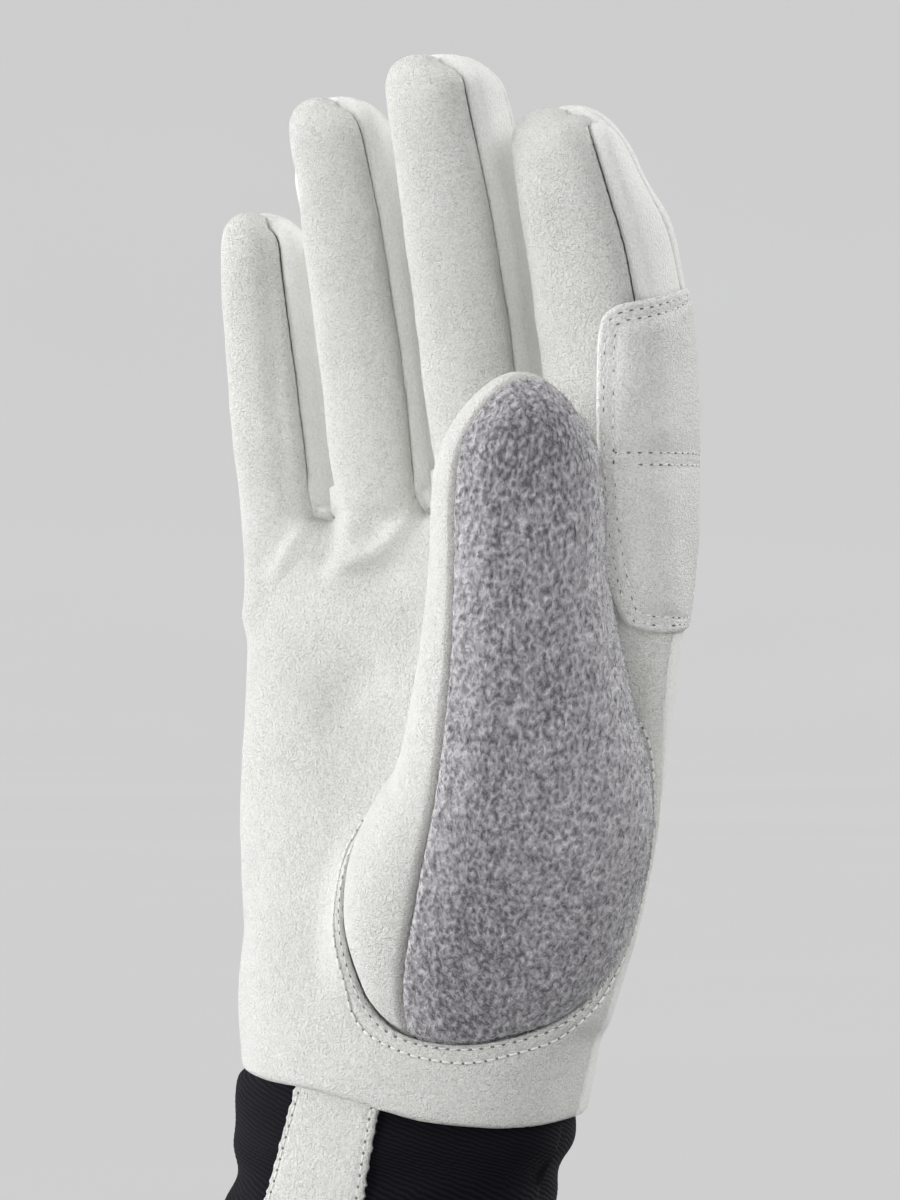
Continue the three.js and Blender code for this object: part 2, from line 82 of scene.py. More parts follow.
# Fibres on the fleece: ranges of length and radius, and the way that they lean. Middle and tip
# are how far up and along they get, as shares of the length.
FIBRES = {
    "count": 9000,
    "length": (0.5, 1.0),
    "radius": (0.05, 0.085),
    "lean": (-0.3, -0.2, -0.9),
    "root": 0.15,
    "middle": (0.45, 0.35),
    "middle_radius": 0.8,
    "tip": (0.6, 1.0),
    # Painted light: a fibre's colour is lighter at its middle and tip than at its root down in the pile.
    "lighter": {"middle": 0.15, "tip": 0.3},
}
# How far the pile stands up, and sinks at the edge. The suede sinks beside the same seam.
PILE = {"foot": 0.15, "high": 0.42, "sunk": 0.4, "wide": 0.4}
SUEDE_SUNK = {"deep": 0.9, "wide": 0.7}
THUMB_INSIDE = 1.4  # how far the thumb's panels reach in under the palm
STITCH_PITCH = 2.1
STITCH_BITE = {"share": 0.16, "reach": 0.9}  # stitches pull a panel's edge in
THREAD_RADIUS = 0.19
VOXEL = 0.85  # the spacing of the hand's mesh
# How far distances from the thumb and from the hand are looked for.
THUMB_FAR = 12.0
HAND_FAR = 14.0
# How square the sections are: 2 is an ellipse.
SQUARE = {"palm": 2.4, "finger": 2.6, "thumb": 2.3, "cuff": 2.4}
SIDES = {"palm": 220, "finger": 110, "cuff": 380}
# The thumb's meshes: the spacing of their rings and their number of sides.
THUMB_ROUGH = (1.0, 160)
THUMB_SUEDE = (0.85, 190)
THUMB_FLEECE = (0.5, 300)

# The fingers' seams lie in valleys: their depth, and their half width on each side. The front
# one is deepest on a finger's right side.
VALLEYS = {
    "front": {"deep": 1.7, "before": 3.0, "beyond": 1.5},
    "back": {"deep": 0.5, "before": 1.3, "beyond": 1.3},
}
# They fade in over heights, and across each finger from a share of their depth on its left.
VALLEY_FADES = {"z": (152, 166), "left": 0.4, "across": (-2, 3)}
# Sections: the centre at height z, the half width along X and the half depth along Y.
PALM = table(
    "z x y wide deep",
    (38, 10, -1.6, 32, 24.2),
    (52, 11.5, -1.4, 34, 23.8),
    (66, 12.5, -1, 36.5, 22.8),
    (76, 14.4, -0.5, 38.6, 21.6),
    (86, 15.7, 0.2, 40.8, 20.3),
    (100, 17, 1, 43, 18.8),
    (114, 18, 1.6, 44, 17.4),
    (132, 19.5, 1.8, 45, 16),
    (148, 20.5, 1.4, 46, 13.6),
    (159, 20, 1, 45.5, 12.2),
)
CUFF = table(
    "z x y wide deep",
    (0, 0, 0, 32, 24),
    (14, 2.5, 0, 32, 23.6),
    (27, 5, -0.2, 32, 23.2),
    (34.5, 7, -0.5, 31, 22.4),
    (40, 8.4, -0.8, 33.2, 21.8),
    (44.5, 8.9, -0.9, 33.6, 21.3),
    (49, 8.8, -1, 33.4, 20.8),
    (52.5, 9.2, -1.2, 33, 20.2),
    (55, 10.9, -1.2, 31.4, 19.8),
    (57, 11.6, -1.2, 30.8, 19.4),
    (61, 12.2, -1.2, 31.4, 19),
)
# Ahead is how far the front seam lies from a finger's centre line towards the palm on the
# thumb's side, as a share of the half depth.
FINGERS = {
    "little": table(
        "z x y wide deep ahead",
        (126, -14.5, 2.5, 8, 10.4, 0.5),
        (142, -16, 2.3, 9.3, 10.8, 0.5),
        (158, -17, 2, 9.5, 10.6, 0.52),
        (176, -18.5, 0.8, 9.2, 10.2, 0.54),
        (196, -18.6, -2.2, 9, 9.6, 0.66),
        (207, -18.6, -3.9, 8.7, 9.2, 0.75),
        (215.5, -18.5, -4.7, 8.4, 8.8, 0.78),
    ),
    "ring": table(
        "z x y wide deep ahead",
        (126, 9, 1.8, 9.6, 11.4, 0.45),
        (142, 8, 1.6, 10.4, 12, 0.45),
        (158, 5.8, 1, 10.4, 11.6, 0.45),
        (184, 3.7, -1.8, 10.2, 11, 0.4),
        (208, 3.1, -7, 10, 10.6, 0.47),
        (225, 2, -10.2, 9.8, 10.2, 0.55),
        (236.8, 1, -11.9, 9.4, 9.8, 0.64),
    ),
    "middle": table(
        "z x y wide deep ahead",
        (126, 31.5, 1.6, 10.4, 11.8, 0.5),
        (142, 31, 1, 11, 12.4, 0.5),
        (160, 29, 0.2, 11, 12, 0.32),
        (188, 27, -3, 11, 11.6, 0.36),
        (214, 26.7, -9, 11, 11.5, 0.5),
        (231, 25.9, -12.8, 10.8, 11.2, 0.6),
        (243.7, 25, -14.6, 10.5, 10.8, 0.66),
    ),
    "index": table(
        "z x y wide deep ahead",
        (126, 51.5, 2, 10, 12.2, 0.6),
        (142, 53, 2, 12, 13.4, 0.6),
        (158, 54, 1.8, 12.8, 13.6, 0.6),
        (180, 53.8, 0.8, 13.2, 13.6, 0.62),
        (204, 53.6, -3.9, 13.2, 13, 0.7),
        (219, 52.2, -8.8, 12.4, 11.8, 0.74),
        (233.4, 49.8, -11.2, 10.6, 10.2, 0.78),
    ),
}
# Turn is a section's angle from the palm's width in degrees. Left and right are where the
# fleece's seam runs, as shares of the half depth towards the palm's front.
THUMB = table(
    "z x y wide deep turn left right",
    (56, 25.4, -9, 13.4, 10, 20, 1.4, -0.2),
    (70, 27.6, -11, 21.6, 15, 20, 1.48, -0.2),
    (86, 33.8, -14, 26.3, 18, 22, 1.5, -0.2),
    (104, 43.5, -18.5, 24.5, 18, 25, 1.15, -0.2),
    (124, 47.5, -25, 20, 16.5, 28, 1.02, -0.2),
    (146, 49.4, -29.8, 16.2, 14.6, 30, 0.9, -0.15),
    (166, 51.1, -32.5, 15, 13.4, 30, 0.85, -0.15),
    (183.4, 53.1, -34.4, 10.6, 11, 30, 0.8, -0.1),
)
# The thumb's foot is lowest at a place across it, as it is seen from VIEW.
THUMB_DROP = {"across": 18, "wide": 11, "deep": 2.2, "fades": (58, 74)}
# Fingertips slope down by a share of the distance to the right, as they are seen from VIEW, and
# drop by some more at a distance to the right. Reach is how far below the tip that starts.
TIP_SLOPE = 0.17
TIP_ACROSS = {"at": 10, "limit": 12}  # where the drop is TIP_DROP, and the most that counts
TIP_DROP = {"little": 4.2, "ring": 2.4, "middle": 1.3, "index": 4.2}
TIP_REACH = {"little": 16, "ring": 16, "middle": 16, "index": 26}
# How ends close: the lengths over which the width and the depth shrink, and the curve's power.
FINGER_END = {"wide": 6.4, "deep": 8.5, "power": 2.5}
PALM_END = {"wide": 4, "deep": 5, "power": 2}
THUMB_END = {"wide": 18, "deep": 13, "power": 2.1}
THUMB_FOOT = {"wide": 13, "deep": 10, "power": 2}

# Where the seams run along a side, as shares of the half depth from the centre line. A finger's
# left seams meet between two distances below its tip. The ring finger's front one bulges there.
BEHIND = {"inner": 0.5, "index": 0.36, "little": 0.55}
THUMB_SIDE = table("z behind", (50, 0.02), (77, 0.15), (104, 0.18), (121, -0.02), (143, -0.1))
AHEAD_LEFT = 0.5
RING_FOLD = {"z": 224, "high": 9, "ahead": 0.28}
SEAM_MEETS = {"from": 18, "to": 7, "behind": 0.15}
# A seam is level from just outside a finger's side to some way in.
SEAM_LEVEL = {"out": 0.1, "in": 3.4}
# Heights: of the crotches, and of where the strips start, the back seams leave the palm's sides,
# and the index finger's front seam leaves its back one.
CROTCHES = 150
STRIPS_START = (156.4, 158.4)
LEAVES_PALM = (128, 158)
LEAVES_BACK = (150, 178)
# The hand's mesh is smoothed most round the crotches.
CROTCH_SMOOTH = {"starts": (138, 150), "ends": (162, 172), "rounds": 45}
# At the crotches a strip is folded up below a line that rises to the right from here.
STRIP_FOLDS = table("x z", (-8.4, 159.8), (14.4, 163), (39, 160))
STRIP_FOLD = {"slope": 0.8, "out": 1.5}
# There its edge lies under the palm's.
STRIP_UNDER = {"reach": 1.8, "deep": 0.8, "starts": (150, 154), "ends": (159, 166)}

# The hem's plane: its height at x and y, and its slopes.
HEM = {"z": 50.3, "x": 10, "y": 0, "slope_x": -0.148, "slope_y": 0.11}
HEM_RISE = {"x": 3, "wide": 17, "high": 2.2}

# The camera's angle in the photograph, and directions as they are seen from there.
VIEW = math.radians(30)
TOWARDS = np.array([math.sin(VIEW), -math.cos(VIEW), 0])
ACROSS = np.array([math.cos(VIEW), math.sin(VIEW), 0])
# The overlay's outline as it is seen from VIEW, and the depth along VIEW where it ends behind.
OVERLAY_BACK = 22
OVERLAY_LEFT = 38  # it lies to the right of this x and between these heights
OVERLAY_HEIGHTS = (125, 208)
OVERLAY = table(
    "across z",
    (43, 191),
    (44, 194.5),
    (46.6, 196.3),
    (52, 197.2),
    (57, 198.8),
    (60.4, 200),
    (61.8, 197),
    (65, 188),
    (70, 184),
    (70, 152),
    (63.5, 147),
    (60, 136.6),
    (56, 135.8),
    (50.5, 136.5),
    (47.2, 138),
    (45.4, 144),
    (43.6, 156),
    (42.8, 176),
)
OVERLAY_ROWS = (1.5, 3.1)  # stitch rows, from the overlay's edge
OVERLAY_LINES = (0.25, 0.6, 1.1, 1.5, 1.9, 2.7, 3.1, 3.5)  # lines of corners, from its edge
OVERLAY_CROSS = (166.9, 169.1)  # heights of the rows across its middle
OVERLAY_PINCH = {"deep": 0.2, "wide": 0.4, "uneven": 0.35}
CROSS_PINCH = {"deep": 0.34, "wide": 0.5}
# Its edge is rolled. It is puffed from a way inside its rows and off its cross rows, and gets
# thinner and flatter where it turns to the right.
OVERLAY_EDGE = {"radius": 1.2, "share": 0.9}
OVERLAY_PUFF = {"high": 0.75, "inside": (-0.4, 2.6), "off_rows": (0, 5)}
OVERLAY_TURNED = {"fades": (0.55, 1.0), "thinner": 0.35, "flatter": 0.8}
OVERLAY_LUMPS = (0.06, 3, 0.0)  # their height, size and shift
OVERLAY_LEAST = 0.2
# The cuff's slanting ribs, and its wrinkles round a height.
RIBS = {"high": 0.07, "lean": 0.9, "bend": 0.5, "bend_pitch": 5.2, "pitch": 0.95}
WRINKLES = {"high": 0.35, "pitch": 11, "bend": 0.6, "bend_length": 17, "z": 30, "reach": 14}
CUFF_ROLL = 1.2  # how high and how far in the cuff's lower edge is rolled
STRAP_ROW = 1.15  # a stitch row, from each of the strap's edges
STRAP_SPAN = (4, 56)  # its heights
STRAP_LIFT = 0.35  # over the cuff
STRAP_GROOVE = {"at": 1.2, "wide": 0.5, "deep": 0.25}
# Its edges are ragged up to a way in, by lumps up it and lumps all over.
STRAP_RAGGED = {"wide": 0.6, "up": (0.28, 0.7, 2.0), "over": (0.16, 2.2, 6.0)}
STRAP = table("z left right", (4, -13, 9), (29, -8.5, 13), (60, 0.5, 17.8))

# Hollows of the palm: middle, how far they reach across and up, and their depth.
HOLLOWS = table(
    "x z wide high deep",
    (-4, 128, 13, 9, 1.4),
    (8, 118, 15, 13, 2.8),
    (0, 76, 10, 12, 0.8),
    (-3.6, 152.5, 3, 5, 1.8),
    (7.2, 154.6, 4, 2.6, 1.6),
    (9.5, 147.6, 6, 3.4, 1.5),
    (61, 126, 6, 12, 3.0),
)
# Folds of the palm: lines through these points, their height and half width.
FOLDS = [
    {"line": [(17, 159), (12.6, 154.4), (8.7, 151.2), (2, 148.6), (-7, 146)], "high": 1.7, "wide": 2.2},
    {"line": [(-8.8, 158), (-10.4, 153), (-13.4, 148.4), (-18, 145.5)], "high": 1.4, "wide": 2.1},
    {"line": [(12, 130.6), (3, 125.4), (-6, 119.7)], "high": -1.2, "wide": 4.5},
]
FOLD_FADES = ((0, 0.18), (0.65, 1))  # at a fold's ends, as shares of its length
FOLD_FAR = 30  # a fold moves no points further than this from its middle, up or across
# A wrinkle on the palm's outer side.
WRINKLE = {"z": 138.5, "high": 3.2, "out": 0.9}
# How squarely the cloth has to face the front or the left to be moved, from not at all to fully.
FACES_FRONT = (0.15, 0.6)
FACES_LEFT = (0.3, 0.9)
# The cloth's soft lumps: their height, size and shift.
HAND_LUMPS = ((0.28, 14, 0.0), (0.1, 5, 3.3))


def smoothstep(x, low, high):
    t = np.clip((x - low) / (high - low), 0, 1)
    return t * t * (3 - 2 * t)


def mix(a, b, t):
    return a + (b - a) * t


def bell(x, middle, width):
    return np.exp(-(((x - middle) / width) ** 2))


def window(x, starts, ends):
    """1 between two ramps, and 0 on both sides of them."""
    return smoothstep(x, *starts) * (1 - smoothstep(x, *ends))


def unit(v):
    return v / np.maximum(np.linalg.norm(v, axis=-1, keepdims=True), 1e-12)


def dot(a, b):
    return (a * b).sum(-1)


# Curves and lofts.
def cubic(w, a, b, start, end, step=1.0):
    """Values at shares w of a step from a to b, with the slopes at both ends."""
    return (
        (2 * w**3 - 3 * w**2 + 1) * a
        + (w**3 - 2 * w**2 + w) * step * start
        + (3 * w**2 - 2 * w**3) * b
        + (w**3 - w**2) * step * end
    )


def curve_at(knots, t):
    """Points at t, from 0 to 1, of the smooth curve through the rows of knots."""
    last = len(knots) - 1
    padded = np.vstack([2 * knots[0] - knots[1], knots, 2 * knots[-1] - knots[-2]])
    place = np.clip(t, 0, 1) * last
    i = np.minimum(place.astype(int), last - 1)
    before, a, b, after = (padded[i + k] for k in range(4))
    return cubic((place - i)[:, None], a, b, (b - before) / 2, (after - a) / 2)


def column_at(rows, name, z):
    """A column of a table at heights z, smooth through its rows and level past its ends."""
    knots, values = rows["z"], rows[name]
    slopes = np.gradient(values, knots)
    z = np.clip(z, knots[0], knots[-1])
    i = np.clip(np.searchsorted(knots, z, side="right") - 1, 0, len(knots) - 2)
    step = knots[i + 1] - knots[i]
    return cubic((z - knots[i]) / step, values[i], values[i + 1], slopes[i], slopes[i + 1], step)


def section_at(rows, z):
    """A table's columns at heights z."""
    return {name: column_at(rows, name, z) for name in rows if name != "z"}


def lengths_along(path):
    """The length of a path up to each of its points."""
    steps = np.linalg.norm(np.diff(path, axis=0), axis=1)
    return np.concatenate([[0], np.cumsum(steps)])


def closing(left, length, power):
    """The share of its full size that a closing end has at a distance from its tip."""
    share = np.clip(left / length, 0, 1)
    return (1 - (1 - share) ** power) ** (1 / power)


def end_steps(reach, spacing):
    """Distances from an end's tip, close together where its surface turns."""
    turns = np.linspace(0, np.pi / 2, max(6, int(reach * 1.6 / spacing)))
    return reach * (1 - np.cos(turns))


def bent(v, power):
    """Sines or cosines, drawn out so that a section's corners fill up."""
    return np.sign(v) * np.abs(v) ** (2 / power)


def loft(rows, power, spacing, sides, grow=0.0, head=None, foot=None):
    """Rings of points round a table's centre line, as an array of stations by sides by 3."""
    centre = np.stack([rows["x"], rows["y"], rows["z"]], 1)
    turn = rows.get("turn", np.zeros(len(centre)))
    size = np.stack([rows["wide"], rows["deep"], turn], 1)
    fine = np.linspace(0, 1, 2000)
    lengths = lengths_along(curve_at(centre, fine))
    length = lengths[-1]
    start = -grow if foot else 0.0
    end = length + grow if head else length
    footed = start + max(foot["wide"], foot["deep"]) + grow if foot else start
    headed = end - max(head["wide"], head["deep"]) - grow if head else end
    stations = [np.linspace(footed, headed, int((headed - footed) / spacing) + 1)]
    if foot:
        stations.insert(0, start + end_steps(footed - start, spacing)[:-1])
    if head:
        stations.append(end - end_steps(end - headed, spacing)[:-1][::-1])
    stations = np.concatenate(stations)
    inside = np.clip(stations, 0, length)
    t = np.interp(inside, lengths, fine)
    along = np.tile([0.0, 0.0, 1.0], (len(t), 1))
    if head or foot:
        along = unit(curve_at(centre, t + 1e-4) - curve_at(centre, t - 1e-4))
    at = curve_at(centre, t) + along * (stations - inside)[:, None]
    wide, deep, turned = curve_at(size, t).T
    share = {"wide": 1.0, "deep": 1.0}
    for side in share:
        if head:
            share[side] = share[side] * closing(end - stations, head[side] + grow, head["power"])
        if foot:
            share[side] = share[side] * closing(stations - start, foot[side] + grow, foot["power"])
    turned = np.radians(turned)
    across = np.stack([np.cos(turned), np.sin(turned), 0 * turned], 1)
    across = unit(across - along * dot(across, along)[:, None])
    front = np.cross(across, along)
    angle = -2 * np.pi * (np.arange(sides) + 0.5) / sides
    a = ((wide + grow) * share["wide"])[:, None] * bent(np.cos(angle), power)
    b = ((deep + grow) * share["deep"])[:, None] * bent(np.sin(angle), power)
    return at[:, None] + across[:, None] * a[..., None] + front[:, None] * b[..., None]


def grid_faces(rows, columns, wrap):
    """Two triangles for each cell of a grid of points. Wrap joins its last column to its first."""
    i = np.arange(rows - 1)[:, None]
    j = np.arange(columns if wrap else columns - 1)[None]
    a = i * columns + j
    b = i * columns + (j + 1) % columns
    c, d = b + columns, a + columns
    return np.concatenate([np.stack([a, b, c], -1).reshape(-1, 3), np.stack([a, c, d], -1).reshape(-1, 3)])


def fan(sides, middle, first=0):
    """Triangles from a ring of corners, the first of them given, to a corner in its middle."""
    j = np.arange(sides)
    return np.stack([first + j, first + (j + 1) % sides, np.full(sides, middle)], 1)


def turned_over(faces):
    return faces[:, [1, 0, 2]]


def outward(points, faces):
    """A closed surface's faces, all facing out."""
    a, b, c = (points[faces[:, k]] for k in range(3))
    return faces[:, ::-1] if dot(a, np.cross(b, c)).sum() < 0 else faces


def closed_loft(rings):
    """A closed surface through rings, with a fan over each end."""
    count, sides = rings.shape[:2]
    points = np.concatenate([rings.reshape(-1, 3), rings[0].mean(0)[None], rings[-1].mean(0)[None]])
    low = turned_over(fan(sides, count * sides))
    high = fan(sides, count * sides + 1, (count - 1) * sides)
    return points, outward(points, np.concatenate([grid_faces(count, sides, True), low, high]))


# Meshes as arrays.
class Surface:
    """Triangles, with named values at their corners."""

    def __init__(self, points, faces, values=None):
        self.points = points
        self.faces = faces
        self.values = values or {}


def normals_of(points, faces):
    a, b, c = (points[faces[:, k]] for k in range(3))
    flat = np.cross(b - a, c - a)
    sums = np.zeros_like(points)
    for k in range(3):
        for axis in range(3):
            sums[:, axis] += np.bincount(faces[:, k], flat[:, axis], len(points))
    return unit(sums)


def sides_of(faces):
    """The directed edges of triangles."""
    return np.concatenate([faces[:, [0, 1]], faces[:, [1, 2]], faces[:, [2, 0]]])


def edges_of(faces):
    return np.unique(np.sort(sides_of(faces), 1), axis=0)


def smoothed(values, faces, rounds, weight=1.0):
    """Values or points at corners, each drawn towards its neighbours' average."""
    edges = edges_of(faces)
    a, b = edges[:, 0], edges[:, 1]
    count = len(values)
    ends = np.bincount(a, minlength=count) + np.bincount(b, minlength=count)
    ends = np.maximum(ends, 1)
    flat = values.reshape(count, -1)
    weight = np.broadcast_to(np.asarray(weight, float), (count,))[:, None]
    for _ in range(rounds):
        near = np.stack(
            [np.bincount(a, f[b], count) + np.bincount(b, f[a], count) for f in flat.T], 1
        )
        flat = flat + 0.5 * weight * (near / ends[:, None] - flat)
    return flat.reshape(values.shape)


def surface_distance(surface, value):
    """A value as a distance along the surface from where it is zero, true near that line."""
    p, f = surface.points, surface.faces
    e1, e2 = p[f[:, 1]] - p[f[:, 0]], p[f[:, 2]] - p[f[:, 0]]
    d1, d2 = value[f[:, 1]] - value[f[:, 0]], value[f[:, 2]] - value[f[:, 0]]
    a, b, c = dot(e1, e1), dot(e1, e2), dot(e2, e2)
    area = np.maximum(a * c - b * b, 1e-12)
    slope = np.sqrt(np.maximum((c * d1 * d1 - 2 * b * d1 * d2 + a * d2 * d2) / area, 0))
    weight = np.sqrt(area)
    sums, weights = np.zeros(len(p)), np.zeros(len(p))
    for k in range(3):
        sums += np.bincount(f[:, k], slope * weight, len(p))
        weights += np.bincount(f[:, k], weight, len(p))
    steep = smoothed(sums / np.maximum(weights, 1e-12), f, 6)
    return value / np.maximum(steep, 0.15)


SNAP = 0.04  # corners as near as this to a cut count as on it


def split(surface, name, level=0.0):
    """Cuts triangles along the line where a value has some level."""
    points, faces = surface.points, surface.faces
    v = surface.values[name] - level
    v = np.where(np.abs(v) < SNAP, 0.0, v)
    sign = np.sign(v)[faces]
    crossed = (sign.max(1) > 0) & (sign.min(1) < 0)
    cut, kept = faces[crossed], faces[~crossed]
    if not len(cut):
        return surface
    sign = sign[crossed]
    zero = (sign == 0).any(1)
    alone = np.where(
        zero,
        (sign == 0).argmax(1),
        (sign * sign.sum(1, keepdims=True) < 0).argmax(1),
    )
    cut = cut[np.arange(len(cut))[:, None], (alone[:, None] + np.arange(3)) % 3]
    through, both = cut[zero], cut[~zero]
    pairs = np.concatenate([through[:, [1, 2]], both[:, [0, 1]], both[:, [2, 0]]])
    unique, index = np.unique(np.sort(pairs, 1), axis=0, return_inverse=True)
    index = index.reshape(-1) + len(points)
    a, b = unique[:, 0], unique[:, 1]
    t = v[a] / (v[a] - v[b])

    def with_new(x):
        """Values at the corners, followed by those at the new corners."""
        return np.concatenate([x, mix(x[a], x[b], t if x.ndim == 1 else t[:, None])])

    values = {k: with_new(x) for k, x in surface.values.items()}
    values[name] = np.where(np.abs(values[name] - level) < SNAP, level, values[name])
    n, m = len(through), len(both)
    mid, first, second = index[:n], index[n : n + m], index[n + m :]
    made = np.concatenate(
        [
            np.stack([through[:, 0], through[:, 1], mid], 1),
            np.stack([through[:, 0], mid, through[:, 2]], 1),
            np.stack([both[:, 0], first, second], 1),
            np.stack([first, both[:, 1], both[:, 2]], 1),
            np.stack([first, both[:, 2], second], 1),
        ]
    )
    return Surface(with_new(points), np.concatenate([kept, made]), values)


def part(surface, chosen):
    """The part of a surface with the chosen triangles."""
    faces = surface.faces[chosen]
    used, index = np.unique(faces, return_inverse=True)
    values = {k: x[used] for k, x in surface.values.items()}
    return Surface(surface.points[used], index.reshape(-1, 3), values)


def beyond(surface, name, level=0.0):
    """The part of a surface where a value is over some level, cut cleanly along it."""
    surface = split(surface, name, level)
    return part(surface, (surface.values[name][surface.faces] - level).sum(1) > 0)


def borders_of(faces):
    """The directed edges that only one triangle has."""
    pairs = sides_of(faces)
    size = faces.max() + 1
    keys = pairs[:, 0] * size + pairs[:, 1]
    back = pairs[:, 1] * size + pairs[:, 0]
    return pairs[~np.isin(keys, back)]


def thickened(surface, outer, inner):
    """A closed wall between an outer and an inner copy of a surface's points."""
    faces, count = surface.faces, len(surface.points)
    rim = borders_of(faces)
    a, b = rim[:, 0], rim[:, 1]
    sides = np.concatenate([np.stack([b, a, a + count], 1), np.stack([b, a + count, b + count], 1)])
    return np.concatenate([outer, inner]), np.concatenate([faces, faces[:, ::-1] + count, sides])


def line_at(surface, name, level):
    """Lines where a value has some level, each as an array of points with their normals."""
    v = surface.values[name] - level
    v = np.where(v == 0, 1e-9, v)
    f = surface.faces
    inside = v[f] > 0
    crossed = f[inside.any(1) & ~inside.all(1)]
    links = {}
    for corners in crossed.tolist():
        ends = []
        for i in range(3):
            a, b = corners[i], corners[(i + 1) % 3]
            if (v[a] > 0) != (v[b] > 0):
                ends.append((min(a, b), max(a, b)))
        links.setdefault(ends[0], []).append(ends[1])
        links.setdefault(ends[1], []).append(ends[0])
    left = set(links)
    normals = surface.values["normals"]
    lines = []
    starts = [k for k in links if len(links[k]) == 1] + list(links)
    for start in starts:
        if start not in left:
            continue
        chain, here = [], start
        while here is not None:
            chain.append(here)
            left.discard(here)
            here = next((k for k in links[here] if k in left), None)
        ends = np.array(chain)
        t = (v[ends[:, 0]] / (v[ends[:, 0]] - v[ends[:, 1]]))[:, None]
        at = mix(surface.points[ends[:, 0]], surface.points[ends[:, 1]], t)
        up = unit(mix(normals[ends[:, 0]], normals[ends[:, 1]], t))
        closed = len(links[start]) == 2 and start in links[chain[-1]]
        if closed:
            at, up = np.vstack([at, at[:1]]), np.vstack([up, up[:1]])
        if len(at) > 4:
            lines.append((at, up))
    return lines


def evenly(line, pitch):
    """Points along a line at an even pitch, with their directions and normals."""
    at, up = line
    lengths = lengths_along(at)
    count = int(lengths[-1] / pitch)
    if count < 1:
        return (np.zeros((0, 3)),) * 3
    s = (np.arange(count) + 0.5) * lengths[-1] / count
    reach = pitch * 0.45

    def pick(values, where):
        return np.stack([np.interp(where, lengths, values[:, k]) for k in range(3)], 1)

    ahead = unit(pick(at, s + reach) - pick(at, s - reach))
    return pick(at, s), ahead, unit(pick(up, s))


# Noise.
PUCKER = (1.1, 8.2)  # the size and shift of the noise along stitch rows
RANDOM = np.random.default_rng(7)
LATTICE = RANDOM.uniform(-1, 1, (32, 32, 32))


def noise(points, size, shift=0.0):
    """Smooth noise from -1 to 1 with lumps about as large as size."""
    p = points / size + shift + 100
    i = np.floor(p).astype(int)
    w = p - i
    w = w * w * (3 - 2 * w)
    total = 0
    for dx in (0, 1):
        for dy in (0, 1):
            for dz in (0, 1):
                corner = LATTICE[(i[..., 0] + dx) % 32, (i[..., 1] + dy) % 32, (i[..., 2] + dz) % 32]
                share = (
                    (w[..., 0] if dx else 1 - w[..., 0])
                    * (w[..., 1] if dy else 1 - w[..., 1])
                    * (w[..., 2] if dz else 1 - w[..., 2])
                )
                total = total + corner * share
    return total


def lumpy(points, *layers):
    """The sum of layers of noise, each with its height, size and shift."""
    return sum(high * noise(points, size, shift) for high, size, shift in layers)


# Objects.
def new_object(name, points, faces, materials, attributes=None, slots=None):
    """An object from points in millimetres, with its materials and its corners' values."""
    mesh = bpy.data.meshes.new(name)
    mesh.vertices.add(len(points))
    mesh.vertices.foreach_set("co", (points * MM).astype(np.float32).ravel())
    mesh.loops.add(len(faces) * 3)
    mesh.loops.foreach_set("vertex_index", faces.astype(np.int32).ravel())
    mesh.polygons.add(len(faces))
    mesh.polygons.foreach_set("loop_start", np.arange(0, len(faces) * 3, 3, dtype=np.int32))
    mesh.update(calc_edges=True)
    mesh.shade_smooth()
    for label, values in (attributes or {}).items():
        kind = "FLOAT" if values.ndim == 1 else "FLOAT_VECTOR"
        layer = mesh.attributes.new(label, kind, "POINT")
        field = "value" if values.ndim == 1 else "vector"
        layer.data.foreach_set(field, values.astype(np.float32).ravel())
    for material in materials:
        mesh.materials.append(material)
    if slots is not None:
        mesh.polygons.foreach_set("material_index", slots.astype(np.int32))
    mesh.validate()
    obj = bpy.data.objects.new(name, mesh)
    bpy.context.scene.collection.objects.link(obj)
    return obj


def piece(obj, slot, *nodes):
    """A piece of the glove, in the place of CAD nodes where it stands for some."""
    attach(obj, "root")
    if nodes:
        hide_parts(*nodes)
    return obj


def remeshed(points, faces, spacing):
    """The outer surface of overlapping closed surfaces as one even mesh."""
    obj = new_object("remesh", points, faces, [])
    modifier = obj.modifiers.new("remesh", "REMESH")
    modifier.mode = "VOXEL"
    modifier.voxel_size = spacing * MM
    graph = bpy.context.evaluated_depsgraph_get()
    mesh = obj.evaluated_get(graph).to_mesh()
    mesh.calc_loop_triangles()
    co = np.empty(len(mesh.vertices) * 3, np.float32)
    mesh.vertices.foreach_get("co", co)
    tris = np.empty(len(mesh.loop_triangles) * 3, np.int32)
    mesh.loop_triangles.foreach_get("vertices", tris)
    data = obj.data
    bpy.data.objects.remove(obj)
    bpy.data.meshes.remove(data)
    return co.reshape(-1, 3).astype(float) / MM, tris.reshape(-1, 3).astype(np.int64)


def tree_of(points, faces):
    return BVHTree.FromPolygons(points.tolist(), faces.tolist())


def distances(points, tree, far):
    """Distances from a closed surface, negative inside it and far where nothing is near."""
    found = np.full(len(points), far)
    for i, p in enumerate(points.tolist()):
        at, normal, _, distance = tree.find_nearest(p, far)
        if at is not None:
            outside = (Vector(p) - at).dot(normal)
            found[i] = distance if outside > 0 else -distance
    return found


# Materials.
def linear(r, g, b):
    """A colour from its 0 to 255 screen values."""
    return tuple(((c / 255 + 0.055) / 1.055) ** 2.4 for c in (r, g, b))


